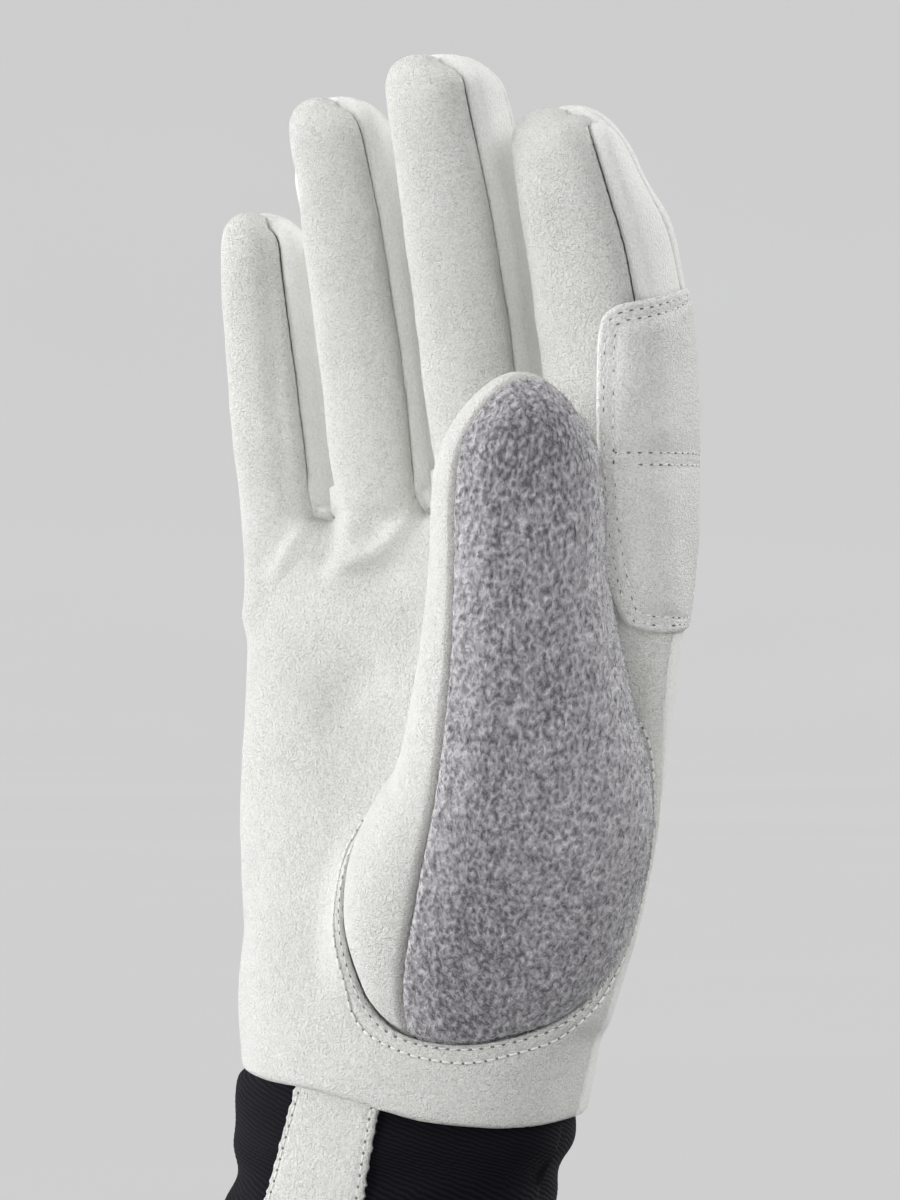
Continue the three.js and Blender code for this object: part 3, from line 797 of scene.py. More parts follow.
class Nodes:
    """Builds a material's nodes by short calls. Sizes are in millimetres."""

    def __init__(self, name, roughness, sheen=0.0, sheen_roughness=0.5, specular=0.25):
        self.material = bpy.data.materials.new(name)
        self.material.use_nodes = True
        self.tree = self.material.node_tree
        self.shader = self.tree.nodes["Principled BSDF"]
        self.set("Roughness", roughness)
        self.set("Sheen Weight", sheen)
        self.set("Sheen Roughness", sheen_roughness)
        self.set("Specular IOR Level", specular)

    def set(self, socket, value):
        """Sets or links one of the shader's sockets."""
        self.put(self.shader.inputs[socket], value)

    def put(self, socket, value):
        if hasattr(value, "links"):
            self.tree.links.new(value, socket)
        else:
            socket.default_value = value

    def add(self, kind, output, inputs=None, **settings):
        """A node's output, after its settings and inputs are set."""
        node = self.tree.nodes.new(kind)
        for key, value in settings.items():
            setattr(node, key, value)
        for key, value in (inputs or {}).items():
            self.put(node.inputs[key], value)
        return node.outputs[output]

    def place(self):
        return self.add("ShaderNodeTexCoord", "Object")

    def attribute(self, name, output="Fac"):
        return self.add("ShaderNodeAttribute", output, attribute_name=name)

    def stretched(self, vector, scale, turn=(0, 0, 0)):
        inputs = {"Vector": vector, "Scale": scale, "Rotation": turn}
        return self.add("ShaderNodeMapping", "Vector", inputs)

    def noise(self, vector, size, detail=2.0, rough=0.5):
        inputs = {"Vector": vector, "Scale": 1 / (size * MM), "Detail": detail, "Roughness": rough}
        return self.add("ShaderNodeTexNoise", "Fac", inputs)

    def wave(self, vector, pitch, bent=0.0, direction="X"):
        scale = 2 * math.pi / 20 / (pitch * MM)
        inputs = {"Vector": vector, "Scale": scale, "Distortion": bent, "Detail": 1.0}
        kind = "ShaderNodeTexWave"
        return self.add(kind, "Fac", inputs, wave_type="BANDS", bands_direction=direction)

    def math(self, operation, a, b):
        return self.add("ShaderNodeMath", 0, {0: a, 1: b}, operation=operation)

    def weighted(self, *parts):
        """The sum of values, each times its weight."""
        total = None
        for value, weight in parts:
            part = self.math("MULTIPLY", value, weight)
            total = part if total is None else self.math("ADD", total, part)
        return total

    def paint(self, share, *stops):
        """The base colour from a ramp with stops: each a place and a linear colour."""
        output = self.add("ShaderNodeValToRGB", "Color", {"Fac": share})
        ramp = output.node.color_ramp
        while len(ramp.elements) < len(stops):
            ramp.elements.new(0.5)
        for element, (place, color) in zip(ramp.elements, stops):
            element.position = place
            element.color = (*color, 1)
        self.set("Base Color", output)

    def screen_paint(self, share, *stops):
        """The base colour from a ramp with stops: each a place and a colour's screen values."""
        self.paint(share, *((place, linear(*color)) for place, *color in stops))

    def bump(self, *layers):
        """Bumps from several heights, each with its distance in millimetres and its strength."""
        normal = None
        for height, distance, strength in layers:
            inputs = {"Strength": strength, "Distance": distance * MM, "Height": height}
            if normal is not None:
                inputs["Normal"] = normal
            normal = self.add("ShaderNodeBump", "Normal", inputs)
        self.set("Normal", normal)


def suede_material(name, middle):
    """Suede round a middle colour."""
    n = Nodes(name, 0.95, sheen=0.1, sheen_roughness=0.6)
    at = n.place()
    share = n.weighted((n.noise(at, 0.35, 2, 0.6), 0.85), (n.noise(at, 9, 2), 0.15))
    darker, lighter = ([v + step for v in middle] for step in (-25, 9))
    n.screen_paint(share, (0.3, *darker), (0.5, *middle), (0.7, *lighter))
    n.bump((n.noise(at, 0.6, 2, 0.6), 0.48, 1.0), (n.noise(at, 0.3, 2, 0.7), 0.28, 1.0))
    return n.material


def softshell_material():
    n = Nodes("softshell", 0.8, sheen=0.15)
    at = n.place()
    twill = n.noise(n.stretched(at, (2.4, 2.4, 0.7), (0.6, 0.6, 0.4)), 0.7, 1, 0.5)
    speck = n.noise(at, 0.45, 2)
    share = n.weighted((twill, 0.3), (speck, 0.7))
    n.screen_paint(share, (0.3, 226, 226, 223), (0.5, 236, 236, 233), (0.7, 243, 243, 240))
    n.bump((twill, 0.3, 0.8), (speck, 0.25, 0.8))
    return n.material


def fleece_material():
    n = Nodes("fleece", 1.0, sheen=1.0, sheen_roughness=0.55)
    lean = n.stretched(n.place(), (1.15, 1.15, 0.75), (0, 0.3, 0))
    clumps = n.noise(lean, 0.95, 1, 0.4)
    fine = n.noise(lean, 0.45, 2, 0.7)
    # Painted light and shade from the pile attribute: darker in the clumps' gaps and at the ends, lighter
    # at the sides.
    share = n.weighted((clumps, 0.68), (n.attribute("pile_and_painted_shade"), 0.12), (fine, 0.2))
    dark = (0.36, 96, 93, 101), (0.46, 148, 144, 151)
    light = (0.54, 178, 174, 180), (0.66, 214, 211, 216)
    n.screen_paint(share, *dark, *light)
    n.bump((clumps, 1.7, 0.9), (fine, 0.5, 0.8))
    return n.material


def knit_material():
    n = Nodes("knit", 0.9, sheen=0.02, sheen_roughness=0.4, specular=0.15)
    cloth = n.attribute("cloth", "Vector")
    ribs = n.wave(n.stretched(cloth, (MM, MM, MM), (0, 0, 0.3)), 0.8, 2.5, "Y")
    yarn = n.noise(n.stretched(cloth, (MM, MM, MM)), 0.4, 2)
    n.screen_paint(n.weighted((ribs, 0.6), (yarn, 0.4)), (0.2, 4, 4, 8), (0.8, 20, 20, 28))
    n.bump((ribs, 0.22, 0.6), (yarn, 0.1, 0.4))
    return n.material


def thread_material():
    n = Nodes("thread", 0.7, sheen=0.1)
    at = n.place()
    n.screen_paint(n.noise(at, 0.5), (0.3, 232, 233, 229), (0.7, 247, 247, 245))
    n.bump((n.wave(n.stretched(at, (1, 1, 1), (0.5, 0.5, 0.5)), 0.25), 0.05, 0.5))
    return n.material


# Painted shade: the dark grey of the beads that stand for the shade in the needle holes.
def hole_shade_material():
    n = Nodes("needle_hole_shade", 1.0)
    n.screen_paint(n.noise(n.place(), 0.5), (0.3, 112, 112, 108), (0.7, 146, 146, 142))
    return n.material


def paper_material():
    n = Nodes("paper", 1.0, specular=0)
    n.paint(n.noise(n.place(), 400), (0.3, (0.115, 0.115, 0.116)), (0.7, (0.125, 0.125, 0.126)))
    n.set("Emission Color", (1, 1, 1.005, 1))
    n.set("Emission Strength", 0.5)
    return n.material


SUEDE = suede_material("suede", (234, 234, 230))
# The overlay's suede: a lighter copy of the suede, painted light on the overlay.
SUEDE_PAINTED_LIGHTER = suede_material("suede_painted_lighter", (246, 246, 244))
SOFTSHELL = softshell_material()
FLEECE = fleece_material()
KNIT = knit_material()
THREAD = thread_material()
NEEDLE_HOLE_SHADE = hole_shade_material()


# Seams.
def rightwards(points):
    """How far to the right points lie, as they are seen from VIEW."""
    return points[..., 0] * math.cos(VIEW) + points[..., 1] * math.sin(VIEW)


def tip_lowered(offset, z, name):
    """How far a fingertip is lowered at offsets from its centre line, most on its right."""
    top = FINGERS[name]["z"][-1]
    across = np.clip(rightwards(offset), -TIP_ACROSS["limit"], TIP_ACROSS["limit"])
    lower = TIP_SLOPE * across + TIP_DROP[name] * (np.maximum(across, 0) / TIP_ACROSS["at"]) ** 2
    return lower * smoothstep(z, top - TIP_REACH[name], top)


def seams_at(points):
    """Each finger's section, back seam and front seam on both sides at some points' heights."""
    z = points[:, 2]
    palm = section_at(PALM, np.minimum(z, CROTCHES))
    thumb_side = column_at(THUMB_SIDE, "behind", z)
    leaves = smoothstep(z, *LEAVES_PALM)
    starts = smoothstep(z, *STRIPS_START)
    found = []
    for i, (name, rows) in enumerate(FINGERS.items()):
        top = rows["z"][-1]
        level = z
        for _ in range(3):
            centre = np.stack([column_at(rows, "x", level), column_at(rows, "y", level)], 1)
            level = z + tip_lowered(points[:, :2] - centre, level, name)
        s = section_at(rows, level)
        below = np.maximum(top - level, 0.1)
        for side in ("wide", "deep"):
            s[side] = s[side] * closing(below, FINGER_END[side], FINGER_END["power"])
        apart = 1 - smoothstep(level, top - SEAM_MEETS["from"], top - SEAM_MEETS["to"])
        shares = [mix(BEHIND["little"], thumb_side, k / len(FINGERS)) for k in (i, i + 1)]
        palm_left, palm_right = (palm["y"] + palm["deep"] * share for share in shares)
        left = BEHIND["little"] if name == "little" else BEHIND["inner"]
        right = BEHIND["index"] if name == "index" else BEHIND["inner"]
        fold = bell(z, RING_FOLD["z"], RING_FOLD["high"]) * (name == "ring")
        ahead_left = mix(SEAM_MEETS["behind"], -AHEAD_LEFT, apart) - RING_FOLD["ahead"] * fold
        back_left = mix(SEAM_MEETS["behind"], left, apart)
        s["back_left"] = mix(palm_left, s["y"] + s["deep"] * back_left, leaves)
        s["back_right"] = mix(palm_right, s["y"] + s["deep"] * right, leaves)
        s["front_left"] = mix(s["back_left"], s["y"] + s["deep"] * ahead_left, starts)
        leaves_back = smoothstep(z, *LEAVES_BACK) if name == "index" else starts
        s["front_right"] = mix(s["back_right"], s["y"] - s["deep"] * s["ahead"], leaves_back)
        found.append(s)
    return found


def seam_y(sections, side, x):
    """The Y of the front or back seam at x: level across each finger's sides."""
    xs, ys = [np.full_like(x, -200)], [sections[0][side + "_left"]]
    for s in sections:
        left, right = s["x"] - s["wide"], s["x"] + s["wide"]
        start = s[side + "_left"]
        level = np.minimum(SEAM_LEVEL["in"], s["wide"] / 2)  # less where a tip is narrow
        if side == "front" and s is sections[0]:
            left, start = s["x"] - SEAM_LEVEL["in"], (s["back_left"] + s["back_right"]) / 2
        xs += [left - SEAM_LEVEL["out"], left + level]
        xs += [right - level, right + SEAM_LEVEL["out"]]
        ys += [start] * 2 + [s[side + "_right"]] * 2
    xs.append(np.full_like(x, 200))
    ys.append(sections[-1][side + "_right"])
    xs, ys = np.maximum.accumulate(np.stack(xs, 1), 1), np.stack(ys, 1)
    i = np.clip((xs <= x[:, None]).sum(1) - 1, 0, xs.shape[1] - 2)
    row = np.arange(len(x))
    step = np.maximum(xs[row, i + 1] - xs[row, i], 1e-6)
    t = np.clip((x - xs[row, i]) / step, 0, 1)
    return mix(ys[row, i], ys[row, i + 1], smoothstep(t, 0, 1))


# The hand.
def hand_surface():
    """The hand's outer surface: the palm and the fingers grown together."""
    lofts = [closed_loft(loft(PALM, SQUARE["palm"], 1.0, SIDES["palm"], head=PALM_END))]
    for name, rows in FINGERS.items():
        rings = loft(rows, SQUARE["finger"], 1.0, SIDES["finger"], head=FINGER_END)
        rings[..., 2] -= tip_lowered(rings - rings.mean(1, keepdims=True), rings[..., 2], name)
        lofts.append(closed_loft(rings))
    points = np.concatenate([p for p, _ in lofts])
    starts = np.cumsum([0] + [len(p) for p, _ in lofts[:-1]])
    faces = np.concatenate([f + s for (_, f), s in zip(lofts, starts)])
    points, faces = remeshed(points, faces, VOXEL)
    near_crotch = window(points[:, 2], CROTCH_SMOOTH["starts"], CROTCH_SMOOTH["ends"])
    points = smoothed(points, faces, 5)
    points = smoothed(points, faces, CROTCH_SMOOTH["rounds"], near_crotch)
    return points, faces


def pressed(points, normals):
    """The palm's hollows and folds."""
    x, z = points[:, 0], points[:, 2]
    facing = smoothstep(-normals[:, 1], *FACES_FRONT)
    move = np.zeros(len(points))
    for middle_x, middle_z, wide, high, deep in zip(*HOLLOWS.values()):
        far = ((x - middle_x) / wide) ** 2 + ((z - middle_z) / high) ** 2
        move -= deep * np.exp(-far)
    at = np.stack([x, z], 1)
    for fold in FOLDS:
        line = np.array(fold["line"], float)
        t = np.linspace(0, 1, 60)
        path = curve_at(line, t)
        near = np.full(len(points), np.inf)
        share = np.zeros(len(points))
        close = (np.abs(at - path.mean(0)) < FOLD_FAR).all(1)
        gaps = np.linalg.norm(at[close][:, None] - path[None], axis=2)
        near[close] = gaps.min(1)
        share[close] = t[gaps.argmin(1)]
        move += fold["high"] * window(share, *FOLD_FADES) * bell(near, 0, fold["wide"])
    left = smoothstep(-normals[:, 0], *FACES_LEFT) * (x < 0)
    wrinkle = WRINKLE["out"] * bell(z, WRINKLE["z"], WRINKLE["high"])
    return points + normals * (move * facing + wrinkle * left)[:, None]


def hem_height(x, y):
    plane = HEM["z"] + HEM["slope_x"] * (x - HEM["x"]) + HEM["slope_y"] * (y - HEM["y"])
    return plane + HEM_RISE["high"] * bell(x, HEM_RISE["x"], HEM_RISE["wide"]) * (y < 0)


def hand_with_fields():
    """The hand's surface, with distances from its seams and its hem. Whole is its shape without valleys."""
    points, faces = hand_surface()
    normals = smoothed(normals_of(points, faces), faces, 3)
    points = pressed(points, unit(normals))
    lumps = lumpy(points, *HAND_LUMPS)
    points = points + unit(normals) * lumps[:, None]
    surface = Surface(points, faces)
    sections = seams_at(points)
    x, y, z = points.T
    back_y = seam_y(sections, "back", x)
    front_y = np.where(x < sections[0]["x"], back_y, seam_y(sections, "front", x))
    back, front = y - back_y, front_y - y
    centres = np.stack([s["x"] for s in sections], 1)
    surface.values = {
        "back": surface_distance(surface, back),
        "front": surface_distance(surface, front),
    }
    offset = x[:, None] - centres
    offset = offset[np.arange(len(x)), np.abs(offset).argmin(1)]
    across = smoothstep(offset, *VALLEY_FADES["across"])
    on_fingers = smoothstep(z, *VALLEY_FADES["z"]) * mix(VALLEY_FADES["left"], 1, across)
    whole = surface.points
    for name, valley in VALLEYS.items():
        d = surface.values[name]
        deep = valley["deep"] * bell(d, 0, np.where(d > 0, valley["before"], valley["beyond"]))
        surface.points = surface.points - unit(normals) * (deep * on_fingers)[:, None]
    surface.points = smoothed(surface.points, faces, 1)
    surface.values |= {
        "hem": z - hem_height(x, y),
        "beside": (centres < x[:, None]).sum(1).astype(float),
        "normals": unit(normals_of(surface.points, faces)),
        "whole": whole,
    }
    return surface


def thumb_shape(spacing, sides):
    """The thumb's closed surface, with its foot lowered."""
    rings = loft(THUMB, SQUARE["thumb"], spacing, sides, head=THUMB_END, foot=THUMB_FOOT)
    drop = bell(rightwards(rings), THUMB_DROP["across"], THUMB_DROP["wide"])
    drop *= 1 - smoothstep(rings[..., 2], *THUMB_DROP["fades"])
    rings[..., 2] -= THUMB_DROP["deep"] * drop
    return closed_loft(rings)


HAND = hand_with_fields()
THUMB_TREE = tree_of(*thumb_shape(*THUMB_ROUGH))


def raise_round_thumb():
    """Raises the palm towards the thumb on the hole's left side."""
    x, _, z = HAND.points.T
    near = np.maximum(distances(HAND.points, THUMB_TREE, THUMB_FAR), 0)
    share = np.clip(1 - near / HOLE_RISE["reach"], 0, 1) ** 2
    share *= window(z, HOLE_RISE["starts"], HOLE_RISE["ends"])
    share *= (1 - smoothstep(x, *HOLE_RISE["left_of"])) * (HAND.values["normals"][:, 1] < 0)
    HAND.points = HAND.points + HAND.values["normals"] * (HOLE_RISE["out"] * share)[:, None]
    HAND.values["normals"] = unit(normals_of(HAND.points, HAND.faces))


raise_round_thumb()
HAND_TREE = tree_of(HAND.points, HAND.faces)


def hole_distance():
    """Distances of the hand's points from the edge of the thumb's hole."""
    slit = window(HAND.points[:, 2], HOLE["starts"], HOLE["ends"])
    near = surface_distance(HAND, distances(HAND.points, THUMB_TREE, THUMB_FAR))
    return near + mix(HOLE["overlap"], -HOLE["slit"], slit)


HAND.values["thumb"] = hole_distance()
for seam in ("back", "front"):
    HAND.values["not_" + seam] = -HAND.values[seam]


def rolled(distance, radius):
    """How far an edge of radius has rolled in at a distance from it."""
    left = np.clip(radius - distance, 0, radius)
    return radius - np.sqrt(np.maximum(radius**2 - left**2, 0))


def edged(surface, edges, levels=(0.4, 0.85)):
    """A surface cut off at its edges, with extra lines of corners beside each."""
    for name in edges:
        surface = beyond(surface, name, SEAM_GAP / 2)
    for name in edges:
        for level in levels:
            surface = split(surface, name, level)
    return surface


def panel(name, surface, edges, thickness, material, lift=0.0, attributes=None, shift=0.0):
    """A sewn panel: a wall whose edges roll in. Edges gives each edge's radius by its value."""
    normals = unit(surface.values["normals"])
    depth = np.zeros(len(surface.points))
    for edge, radius in edges.items():
        distance = surface.values[edge] - SEAM_GAP / 2
        waves = np.sin(2 * np.pi * surface.points[:, 2] / STITCH_PITCH) * (distance < STITCH_BITE["reach"])
        depth = np.maximum(depth, rolled(distance, radius) * (1 + STITCH_BITE["share"] * waves))
    outer = surface.points + normals * (lift - depth)[:, None] + shift
    inner = surface.points + normals * (lift - depth - thickness)[:, None] + shift
    points, faces = thickened(surface, outer, inner)
    doubled = {k: np.concatenate([v, v]) for k, v in (attributes or {}).items()}
    return new_object(name, points, faces, [material], doubled)


def palm_panel():
    edges = {"front": 0.95, "not_back": 1.0, "hem": 1.5, "thumb": 0.35}
    palm = edged(HAND, edges)
    for level in HOLE_LINES:
        palm = split(palm, "thumb", level)
    d = palm.values["thumb"]
    uneven = 1 + HOLE_FRAY["uneven"] * noise(palm.points, HOLE_FRAY["size"])
    frayed = HOLE_FRAY["high"] * bell(d, HOLE_FRAY["at"], HOLE_FRAY["wide"]) * uneven
    pinched = sum(HOLE_PINCH["deep"] * bell(d, row, HOLE_PINCH["wide"]) for row in HOLE_ROWS)
    pinched *= 1 + HOLE_PINCH["uneven"] * noise(palm.points, *PUCKER)
    piece(panel("palm_suede", palm, edges, SUEDE_THICKNESS, SUEDE, frayed - pinched), "suede", "palm")


def back_panel():
    edges = {"back": 0.75, "hem": 1.2, "thumb": 0.5}
    back = edged(HAND, edges)
    piece(panel("back_softshell", back, edges, CLOTH_THICKNESS, SOFTSHELL), "softshell", "back")


def strip_surface(edges):
    """The strips in one, folded up at the crotches, where they run on under the palm's edge."""
    low = window(HAND.points[:, 2], STRIP_UNDER["starts"], STRIP_UNDER["ends"])
    HAND.values["low"] = low
    HAND.values["under"] = HAND.values["not_front"] + STRIP_UNDER["reach"] * low
    strips = edged(HAND, edges)
    ahead, beside = strips.values["not_front"], strips.values["beside"]
    sunk = STRIP_UNDER["deep"] * strips.values["low"] * (1 - smoothstep(ahead, -0.2, 0.5))
    number = np.clip(beside.round().astype(int), 1, 3) - 1
    above = strips.points[:, 2] - STRIP_FOLDS["z"][number]
    above -= STRIP_FOLD["slope"] * (strips.points[:, 0] - STRIP_FOLDS["x"][number])
    puffed = STRIP_FOLD["out"] * (1 - smoothstep(above, -0.3, 0.5)) * (beside < 3.5)
    puffed = puffed * smoothstep(ahead, 0, 0.8)
    strips.points += unit(strips.values["normals"]) * (puffed - sunk)[:, None]
    return strips


def strip_panels():
    edges = {"under": 0.7, "not_back": 0.7}
    strips = strip_surface(edges)
    beside = strips.values["beside"][strips.faces].mean(1)
    names = {
        "little_ring_strip": "fourchette_little_ring",
        "ring_middle_strip": "fourchette_ring_middle",
        "middle_index_strip": "fourchette_middle_index",
        "index_side_strip": "index_side",
    }
    for number, (name, node) in enumerate(names.items(), 1):
        strip = part(strips, np.abs(beside - number) < 0.5)
        piece(panel(name, strip, edges, CLOTH_THICKNESS, SOFTSHELL), "softshell", node)


# Stitches.
# A stitch's rings: distances along it, heights over the cloth and radii, as shares.
STITCH = table(
    "along up radius",
    (-0.5, -0.9, 0.35),
    (-0.36, 0.1, 0.85),
    (0, 0.45, 1),
    (0.36, 0.1, 0.85),
    (0.5, -0.9, 0.35),
)


def circles(a, b, sides):
    """A ring round nought for each place, with its first radius along a and a quarter on along b."""
    angle = 2 * np.pi * np.arange(sides) / sides
    return a[:, None] * np.cos(angle)[None, :, None] + b[:, None] * np.sin(angle)[None, :, None]


def copies(points, one):
    """The points of like shapes in one array, and their faces from the faces of one."""
    count, size = points.shape[:2]
    faces = (one[None] + (np.arange(count) * size)[:, None, None]).reshape(-1, 3)
    return points.reshape(-1, 3), faces


def stitches(places, length, radius, sides=6):
    """One mesh of short threads, each along its place's direction."""
    at, ahead, up = places
    around = circles(np.cross(ahead, up), up, sides)
    rings = []
    for along, height, size in zip(*STITCH.values()):
        centre = at + ahead * along * length + up * height * radius
        rings.append(centre[:, None] + around * radius * size)
    caps = np.arange(1, sides - 1)
    low = np.stack([0 * caps, caps + 1, caps], 1)
    high = np.stack([0 * caps, caps, caps + 1], 1) + (len(rings) - 1) * sides
    one = np.concatenate([grid_faces(len(rings), sides, True), low, high])
    return copies(np.concatenate(rings, 1), one)


def beads(places, radius, long=1.0, flat=0.35, sides=8):
    """Flat dark beads of painted shade that stand for the shaded needle holes between stitches."""
    at, ahead, up = places
    ring = at[:, None] + circles(np.cross(ahead, up), long * ahead, sides) * radius
    top, bottom = at + up * radius * flat, at - up * radius * flat
    points = np.concatenate([ring, top[:, None], bottom[:, None]], 1)
    one = np.concatenate([fan(sides, sides), turned_over(fan(sides, sides + 1))])
    return copies(points, outward(points[0], one))


def sewn(name, rows, lift, length=1.5, radius=THREAD_RADIUS, hole=0.3, long=1.0):
    """Rows of stitches with dark beads of painted shade for the holes between them, as one piece. Each row
    is a line.
    """
    points, faces, slots = [], [], []
    count = 0
    for row in rows:
        at, ahead, up = evenly(row, STITCH_PITCH)
        if not len(at):
            continue
        thread = stitches((at + up * lift, ahead, up), length, radius)
        # Dark beads of painted shade where the needle holes are.
        holes = beads((at + ahead * STITCH_PITCH / 2 + up * lift, ahead, up), hole, long)
        for number, (p, f) in enumerate((thread, holes)):
            points.append(p)
            faces.append(f + count)
            slots.append(np.full(len(f), number))
            count += len(p)
    points, faces, slots = (np.concatenate(parts) for parts in (points, faces, slots))
    return piece(new_object(name, points, faces, [THREAD, NEEDLE_HOLE_SHADE], slots=slots), "suede")


# The overlay on the index finger.
def chaikin(outline, rounds=2):
    """A closed outline with its corners rounded."""
    for _ in range(rounds):
        after = np.roll(outline, -1, 0)
        outline = np.stack([mix(outline, after, 0.2), mix(outline, after, 0.8)], 1).reshape(-1, 2)
    return outline


def inside_outline(at, outline):
    """Distances from an outline, positive inside it."""
    a, b = outline, np.roll(outline, -1, 0)
    along = b - a
    t = np.clip(((at[:, None] - a) * along).sum(2) / (along**2).sum(1), 0, 1)
    near = np.linalg.norm(at[:, None] - (a + t[..., None] * along), axis=2).min(1)
    over = (a[:, 1] > at[:, 1:]) != (b[:, 1] > at[:, 1:])
    rise = np.where(along[:, 1] == 0, 1e-9, along[:, 1])
    reach = along[:, 0] * (at[:, 1:] - a[:, 1]) / rise
    crossings = (over & (at[:, :1] < reach + a[:, 0])).sum(1)
    return np.where(crossings % 2 == 1, near, -near)


def overlay_surface():
    """The hand's surface inside the overlay's outline, with its distances from the edge."""
    middle = HAND.points[HAND.faces].mean(1)
    low, high = OVERLAY_HEIGHTS
    near = part(HAND, (middle[:, 0] > OVERLAY_LEFT) & (middle[:, 2] > low) & (middle[:, 2] < high))
    near.points = near.values["whole"]
    near.values["normals"] = normals_of(near.points, near.faces)
    at = np.stack([near.points @ ACROSS, near.points[:, 2]], 1)
    edge = inside_outline(at, chaikin(np.stack([OVERLAY["across"], OVERLAY["z"]], 1)))
    behind = near.points @ TOWARDS - OVERLAY_BACK
    near.values["overlay"] = np.minimum(surface_distance(near, edge), surface_distance(near, behind))
    surface = beyond(near, "overlay", 0.0)
    for level in OVERLAY_LINES:
        surface = split(surface, "overlay", level)
    return surface


def overlay_height(surface, up):
    """Heights over the finger: rolled at the edge, pinched along the rows and puffed between them."""
    d, z = surface.values["overlay"], surface.points[:, 2]
    depth = OVERLAY_EDGE["share"] * rolled(d, OVERLAY_EDGE["radius"])
    pinch = 1 + OVERLAY_PINCH["uneven"] * noise(surface.points, *PUCKER)
    for row in OVERLAY_ROWS:
        depth += OVERLAY_PINCH["deep"] * pinch * bell(d, row, OVERLAY_PINCH["wide"])
    for row in OVERLAY_CROSS:
        depth += CROSS_PINCH["deep"] * pinch * bell(z, row, CROSS_PINCH["wide"]) * smoothstep(d, 2, 3.4)
    low, high = OVERLAY_CROSS
    quilt = np.maximum(np.maximum(low - z, z - high), 0)
    inner = smoothstep(d, *(OVERLAY_ROWS[1] + step for step in OVERLAY_PUFF["inside"]))
    turned = smoothstep(up @ ACROSS, *OVERLAY_TURNED["fades"])
    puff = OVERLAY_PUFF["high"] * inner * smoothstep(quilt, *OVERLAY_PUFF["off_rows"])
    puff = puff * (1 - OVERLAY_TURNED["flatter"] * turned)
    thickness = (1 - OVERLAY_TURNED["thinner"] * turned) * OVERLAY_THICKNESS
    height = OVERLAY_LIFT + thickness - depth + puff
    return np.maximum(height + lumpy(surface.points, OVERLAY_LUMPS), OVERLAY_LIFT + OVERLAY_LEAST)


def overlay():
    surface = overlay_surface()
    up = unit(surface.values["normals"])
    outer = surface.points + up * overlay_height(surface, up)[:, None]
    points, faces = thickened(surface, outer, surface.points + up * OVERLAY_LIFT)
    # The overlay is made of the lighter copy of the suede: painted light.
    obj = piece(new_object("index_overlay", points, faces, [SUEDE_PAINTED_LIGHTER]), "suede", "index_patch")
    top = Surface(outer, surface.faces, {"overlay": surface.values["overlay"], "z": surface.points[:, 2]})
    top.values["normals"] = normals_of(outer, surface.faces)
    rows = [line for level in OVERLAY_ROWS for line in line_at(top, "overlay", level)]
    inner = part(top, top.values["overlay"][top.faces].min(1) > OVERLAY_ROWS[0] + 0.2)
    rows += [line for level in OVERLAY_CROSS for line in line_at(inner, "z", level)]
    sewn("overlay_stitches", rows, -0.02, length=1.3, radius=0.18, hole=0.19, long=2.4)


# The thumb.
def thumb_fields(points, faces):
    """The thumb's surface, with distances from the fleece's seam and from the palm."""
    x, y, z = points.T
    column = section_at(THUMB, z)
    turn = np.radians(column["turn"])
    from_x, from_y = x - column["x"], y - column["y"]
    side = (from_x * np.cos(turn) + from_y * np.sin(turn)) / column["wide"]
    ahead = (from_x * np.sin(turn) - from_y * np.cos(turn)) / column["deep"]
    seam = (column["right"] + column["left"]) / 2 + (column["right"] - column["left"]) / 2 * side
    surface = Surface(points, faces)
    fleece = surface_distance(surface, (ahead - seam) * column["deep"])
    out = distances(points, HAND_TREE, HAND_FAR)
    surface.values = {
        "fleece": fleece,
        "not_fleece": -fleece,
        "out": out,
        "edge": surface_distance(surface, out),
        "normals": unit(normals_of(points, faces)),
        "side": side * column["wide"],
    }
    return surface


def pile_height(points):
    """The fleece's clumps, from 0 in the gaps to 1 on top."""
    bent = points + 0.6 * np.stack([noise(points, 2.4, s) for s in (1.1, 5.7, 9.3)], 1)
    lean = bent[:, 0] - 0.3 * bent[:, 2]
    stretched = np.stack([lean, bent[:, 1], bent[:, 2] * 0.6], 1)
    coarse = noise(stretched, 0.95)
    fine = noise(stretched, 0.5, 4.4)
    return np.clip(0.55 + 0.5 * coarse + 0.4 * fine, 0, 1)


def thumb_suede():
    surface = beyond(thumb_fields(*thumb_shape(*THUMB_SUEDE)), "out", -THUMB_INSIDE)
    surface = split(split(surface, "edge", 0.5), "edge", 1.0)
    surface = edged(surface, ["not_fleece"], (0.4, 0.85, 1.4))
    deep = mix(TUCK["deep"], TUCK["least"], smoothstep(surface.points[:, 2], *TUCK["ends"]))
    tucked = deep * bell(np.maximum(surface.values["edge"], 0), 0, TUCK["wide"])
    shift = tucked[:, None] * np.array([0, 1.0, 0])
    sunk = SUEDE_SUNK["deep"] * bell(surface.values["not_fleece"], 0, SUEDE_SUNK["wide"])
    edges = {"not_fleece": 1.7}
    obj = panel("thumb_suede", surface, edges, SUEDE_THICKNESS, SUEDE, -sunk, shift=shift)
    piece(obj, "suede", "thumb_palm")


